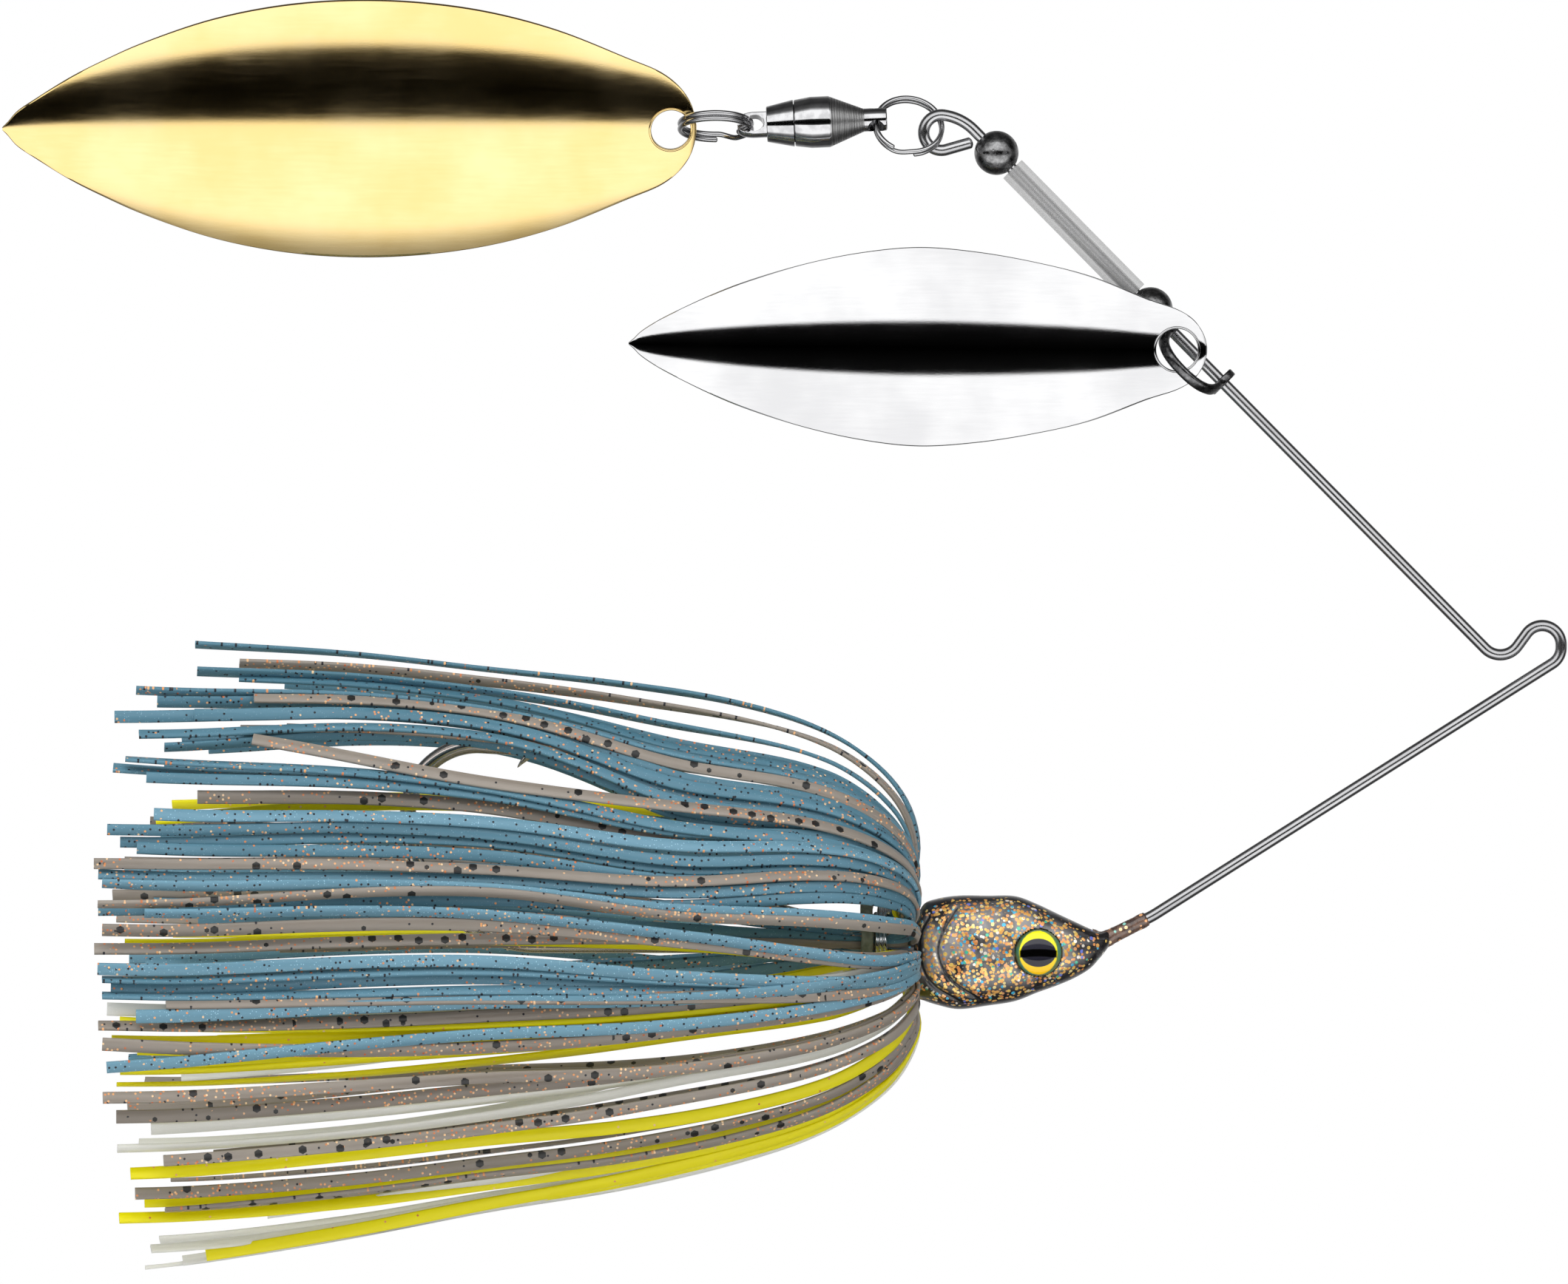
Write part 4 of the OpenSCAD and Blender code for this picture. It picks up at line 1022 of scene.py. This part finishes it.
def blade(name, mat, shape, L, Wd, cup, end, hole, centre, roll, pitch, body, slot, node, power=1.35, t=0.55):
    line = catmull([(a * L, b_ * Wd / 2) for a, b_ in shape], 190)
    NZ = 44
    M = len(line)
    rows = []
    for (x, hw) in line:
        ring = []
        f = hw / (Wd / 2)
        c = cup * f ** power
        h = t / 2 * min(1.0, 0.35 + hw / 1.2)
        rnd_e = min(0.10, hw * 0.4)
        zs = np.sin(np.linspace(1, -1, NZ + 1) * math.pi / 2)
        for sgn in (-1, 1):
            for z in (zs if sgn < 0 else -zs):
                zz = z * hw
                d = hw - abs(zz)
                edge = math.sqrt(max(0.0, 1 - max(0.0, 1 - d / max(rnd_e, 1e-6)) ** 2))
                ring.append((x - L + end, -c * (1 - z * z) + sgn * h * (0.12 + 0.88 * edge), zz))
        rows.append(ring)
    K = len(rows[0])
    V = np.array(rows).reshape(-1, 3)
    F = [[i * K + j, i * K + (j + 1) % K, (i + 1) * K + (j + 1) % K, (i + 1) * K + j] for i in range(M - 1) for j in range(K)]
    F = [q[::-1] for q in F]
    F.append([j for j in range(K)])
    F.append([(M - 1) * K + j for j in range(K)][::-1])
    cr, sr = math.cos(roll), math.sin(roll)
    V = np.stack([V[:, 0], V[:, 1] * cr - V[:, 2] * sr, V[:, 1] * sr + V[:, 2] * cr], 1)
    cp, sp_ = math.cos(pitch), math.sin(pitch)
    V = np.stack([V[:, 0] * cp + V[:, 2] * sp_, V[:, 1], -V[:, 0] * sp_ + V[:, 2] * cp], 1)
    V = V + np.array(centre)
    ob = Build().add(V, F).make(name, mat, 50)
    axis = (0, cr, sr)
    drill(ob, centre, axis, hole, 8, 72)
    # the coined rim round the hole
    c0 = np.array(centre)
    D, U, W = axes(axis, (1, 0, 0))
    a = np.linspace(0, 2 * math.pi, 96, endpoint=False)
    f_here = np.interp(L - end, line[:, 0], line[:, 1]) / (Wd / 2)
    cc = cup * f_here ** power
    hw_here = f_here * Wd / 2
    b = Build()
    for sgn in (-1, 1):
        q = hole + 0.10
        zz = q * np.sin(a)
        xx = q * np.cos(a)
        fx = np.interp(L - end + xx, line[:, 0], line[:, 1])
        cx = cup * (fx / (Wd / 2)) ** power
        yy = -cx * (1 - np.clip(zz / np.maximum(fx, 1e-3), -1, 1) ** 2) + sgn * (t / 2 - 0.02)
        ok = np.clip((fx - np.abs(zz)) / 0.25, 0, 1)
        R = np.stack([xx, yy, zz], 1)
        R = np.stack([R[:, 0], R[:, 1] * cr - R[:, 2] * sr, R[:, 1] * sr + R[:, 2] * cr], 1)
        R = np.stack([R[:, 0] * cp + R[:, 2] * sp_, R[:, 1], -R[:, 0] * sp_ + R[:, 2] * cp], 1) + c0
        V, F, O = sweep(R, circle(0.11, 12), unit(R - c0), closed=True)
        b.add(V, F, O)
    rim = b.make(name + "_rim", mat, 60)
    put(ob, body, slot, node)
    put(rim, body, slot)
    return ob


ROLL = math.radians(10)
blade("gold_willow", gold_m, GOLD, 59.6, 22.4, 2.4, 2.2, 1.7, (-74.8, 0, 44.3), ROLL, 0.0, "gold_blade", "blade_gold", "gold_blade")
sx, sz = arm(40.05, -0.9)
blade("silver_willow", silver_m, SILVER, 49.6, 17.1, 1.9, 2.6, 1.8, (sx, -2.7, sz), 0.0, math.radians(0.66), "silver_blade", "blade_silver", "silver_blade")

# ------------------------------------------------------------------ split rings
def coil(R, wire_r, pitch, centre, normal, start, name, node, slot="ring_nickel", gap=0.34):
    """Two close turns of spring wire with the step between them, as split rings are wound."""
    D, U, W = axes(normal, start)
    span = 4 * math.pi - 2 * gap
    t = np.linspace(gap, gap + span, 240)
    step = np.clip((t - (2 * math.pi - gap * 0.9)) / (2 * gap * 0.9), 0, 1)
    z = pitch * (step * step * (3 - 2 * step) - 0.5)
    P = np.array(centre) + R * (np.cos(t)[:, None] * U + np.sin(t)[:, None] * W) + z[:, None] * D
    V, F, O = rounded_bar(P, wire_r, 20, np.repeat([D], len(t), 0))
    return put(Build().add(V, F, O).make(name, ring_m, 60), node, slot, node)


loop_c = np.array([-51.576, 0, 43.950])
hole_c = np.array([-57.2, 0, 45.07])
mid = (loop_c + hole_c) / 2
v = loop_c - hole_c
e1 = unit(v)
zp = np.array([-e1[2], 0, e1[0]])
lean = math.radians(36)
tan = math.cos(lean) * zp + math.sin(lean) * np.array([0, 1.0, 0])
coil(2.867, 0.215, 0.40, mid, np.cross(e1, tan), np.cross(np.cross(e1, tan), e1) * -1, "arm_split_ring", "arm_ring")
turn = math.radians(-16)
coil(3.05, 0.235, 0.49, (-70.95, 0, 44.5), (0, -math.sin(turn), math.cos(turn)), (0.35, 0.93, -0.26), "blade_split_ring", "split_ring")

# ------------------------------------------------------------------ swivel
RISE2 = math.radians(2.5)
AX = np.array([-math.cos(RISE2), 0, -math.sin(RISE2)])


def swivel_axes():
    """The swivel's own X and Y as the part draws them."""
    b = math.radians(-92.5)
    x = np.array([math.cos(b), 0, -math.sin(b)])
    return x, np.array([0, 1.0, 0])


SX, SY = swivel_axes()
prof = [(-0.95, 0.0), (-0.95, 0.86), (-0.86, 0.97), (-0.5, 1.0), (0.9, 0.99), (1.0, 1.0)]
for i in range(14):  # fine turned steps on the taper
    v0 = 1.0 + 2.94 * i / 14
    r_a = 0.97 + (2.16 - 0.97) * i / 14
    prof += [(v0 + 0.03, r_a + 0.012), (v0 + 0.185, r_a + 0.075), (v0 + 0.2, r_a + 0.062)]
prof += [(3.94, 2.17), (4.02, 2.2), (5.5, 2.2), (5.6, 2.195), (6.9, 2.0), (7.0, 1.93), (7.0, 1.72), (6.9, 1.65), (4.35, 1.65), (4.2, 1.55), (4.2, 0.0)]
V, F, O = lathe(prof, hole_c, AX, 72, closed=False, ref=SX)
barrel = Build().add(V, F, O).make("swivel_body", swivel_m, 32)
ax_hole = math.cos(lean) * SX + math.sin(lean) * SY
drill(barrel, hole_c, ax_hole, 0.78, 5, 40)
put(barrel, "swivel_barrel", "swivel_nickel", "swivel_barrel")
prof = fillet([(6.08, 0.84), (6.08, 1.62), (7.05, 1.62), (7.05, 2.02), (9.36, 1.52), (9.42, 1.34), (8.7, 1.2), (8.5, 0.84)], 0.07, 3)
V, F, O = lathe(prof, hole_c, AX, 72, ref=SX)
put(Build().add(V, F, O).make("swivel_mouth", swivel_m, 32), "swivel_barrel", "swivel_nickel", "swivel_cap")
tn = math.radians(16)
PX, PY = SX * math.cos(tn) + SY * math.sin(tn), -SX * math.sin(tn) + SY * math.cos(tn)


def eye_shape(v, x, y):
    k = max(0.0, min(1.0, (v - 8.75) / 0.5))
    lim = 10 * (1 - k) + 0.6 * k
    return x, max(-lim, min(lim, y))


prof = [(4.64, 0.0), (4.64, 1.5), (4.69, 1.55), (5.19, 1.55), (5.24, 1.5), (5.24, 0.78), (5.3, 0.75), (8.55, 0.75), (8.75, 0.86), (8.95, 1.0)]
prof += [(v_, 1.12) for v_ in (9.15, 9.4, 9.8, 10.2, 10.6)] + [(10.4 + 1.5 * math.sin(t_), max(0.0, 0.55 + 0.57 * math.cos(t_))) for t_ in np.linspace(0.35, 1.5, 8)] + [(11.9, 0.0)]
V, F, O = lathe(prof, hole_c, AX, 72, closed=False, ref=PX, shape=eye_shape)
post = Build().add(V, F, O).make("swivel_stem", swivel_m, 40)
eye_c = hole_c + 10.4 * AX
drill(post, eye_c, PY, 0.72, 5, 48)
put(post, "swivel_post", "swivel_nickel", "swivel_post")
b = Build()
for i in range(8):
    a = 2 * math.pi * i / 8
    c = hole_c + 5.66 * AX + 1.18 * (math.cos(a) * SX + math.sin(a) * SY)
    prof = [(-0.38 * math.cos(t_), 0.38 * math.sin(t_)) for t_ in np.linspace(0, math.pi, 17)]
    prof[0], prof[-1] = (-0.38, 0.0), (0.38, 0.0)
    V, F, O = lathe(prof, c, AX, 24, closed=False)
    b.add(V, F, O)
put(b.make("swivel_balls", ball_m, 60), "bearing_balls", "ball_steel", "bearing_balls")

# ------------------------------------------------------------------ stage, light and camera
FLOOR_Z = -0.078
me = bpy.data.meshes.new("studio_floor")
me.from_pydata([(-0.42, -0.36, FLOOR_Z), (0.29, -0.36, FLOOR_Z), (0.29, 0.36, FLOOR_Z), (-0.42, 0.36, FLOOR_Z)], [], [[0, 1, 2, 3]])
floor = bpy.data.objects.new("studio_floor", me)
scene.collection.objects.link(floor)
fm = Mat("pale_floor")
fm.to("Base Color", fm.mix(fm.noise(fm.place(scale=(20, 20, 20)), 1.0, 2.0), (0.86, 0.86, 0.86), (0.89, 0.89, 0.89)))
fm.set(Roughness=0.8)
me.materials.append(fm.m)
floor.visible_glossy = False

world = bpy.data.worlds.new("studio")
scene.world = world
world.use_nodes = True
wt = world.node_tree
for nd in list(wt.nodes):
    wt.nodes.remove(nd)


class W_(Mat):
    def __init__(self, tree):
        self.t = tree


w = W_(wt)
tc = w.n("TexCoord")
dx, dy, dz = w.split(tc.outputs["Generated"])
elev = w.math("ABSOLUTE", w.math("ARCTAN2", dz, w.math("MULTIPLY", dy, -1.0)))
deg = w.math("MULTIPLY", elev, 180 / math.pi)
soft = w.ramp(w.math("DIVIDE", deg, 180.0), [
    (0.0, (0.0, 0.0, 0.0)), (13.0 / 180, (0.004, 0.004, 0.004)), (14.6 / 180, (1.0, 1.0, 1.0)), (54 / 180, (1.0, 1.0, 1.0)), (61 / 180, (0.34, 0.34, 0.34)), (70 / 180, (0.10, 0.10, 0.10)),
    (95 / 180, (0.03, 0.03, 0.03)), (130 / 180, (0.05, 0.05, 0.05)), (160 / 180, (0.30, 0.30, 0.30)), (1.0, (0.45, 0.45, 0.45))])
side_fall = w.map(w.math("ABSOLUTE", dx), 0.62, 0.95, 1.0, 0.22)
bw = w.n("RGBToBW")
w.l(soft, bw.inputs[0])
strength = w.math("MULTIPLY", w.math("MULTIPLY", bw.outputs[0], side_fall), 1.42)
lp = w.n("LightPath")
see = w.math("MAXIMUM", lp.outputs["Is Camera Ray"], lp.outputs["Is Transmission Ray"])
final = w.math("ADD", w.math("MULTIPLY", see, 1.0), w.math("MULTIPLY", w.math("SUBTRACT", 1.0, see), strength))
bg = w.n("Background")
bg.inputs["Color"].default_value = (1, 1, 1, 1)
w.l(final, bg.inputs["Strength"])
outn = w.n("OutputWorld")
w.l(bg.outputs[0], outn.inputs[0])


def area(name, loc, target, size, power, glossy=False):
    la = bpy.data.lights.new(name, "AREA")
    la.shape = "RECTANGLE"
    la.size, la.size_y = size
    la.energy = power
    ob = bpy.data.objects.new(name, la)
    ob.location = loc
    ob.rotation_euler = (Vector(target) - Vector(loc)).to_track_quat("-Z", "Y").to_euler()
    ob.visible_glossy = glossy
    scene.collection.objects.link(ob)
    return ob


mid_pt = ((cad_lo[0] + cad_hi[0]) / 2, 0, (cad_lo[2] + cad_hi[2]) / 2)
area("key", (-0.20, -0.42, 0.50), mid_pt, (0.5, 0.35), 2.4)
area("fill", (0.02, -0.60, -0.16), mid_pt, (0.6, 0.4), 2.0)
area("back", (-0.06, 0.45, 0.35), mid_pt, (0.6, 0.4), 1.8)

cam_d = 1.6
cam = bpy.data.cameras.new("camera")
cam_ob = bpy.data.objects.new("camera", cam)
scene.collection.objects.link(cam_ob)
cam.sensor_width = 36.0
cam.lens = 36.0 * cam_d / 0.13462
cam_ob.location = (-0.06509, -cam_d, 0.00022)
cam_ob.rotation_euler = (math.pi / 2, 0, 0)
scene.camera = cam_ob
scene.view_settings.view_transform = "Standard"
scene.view_settings.look = "None"
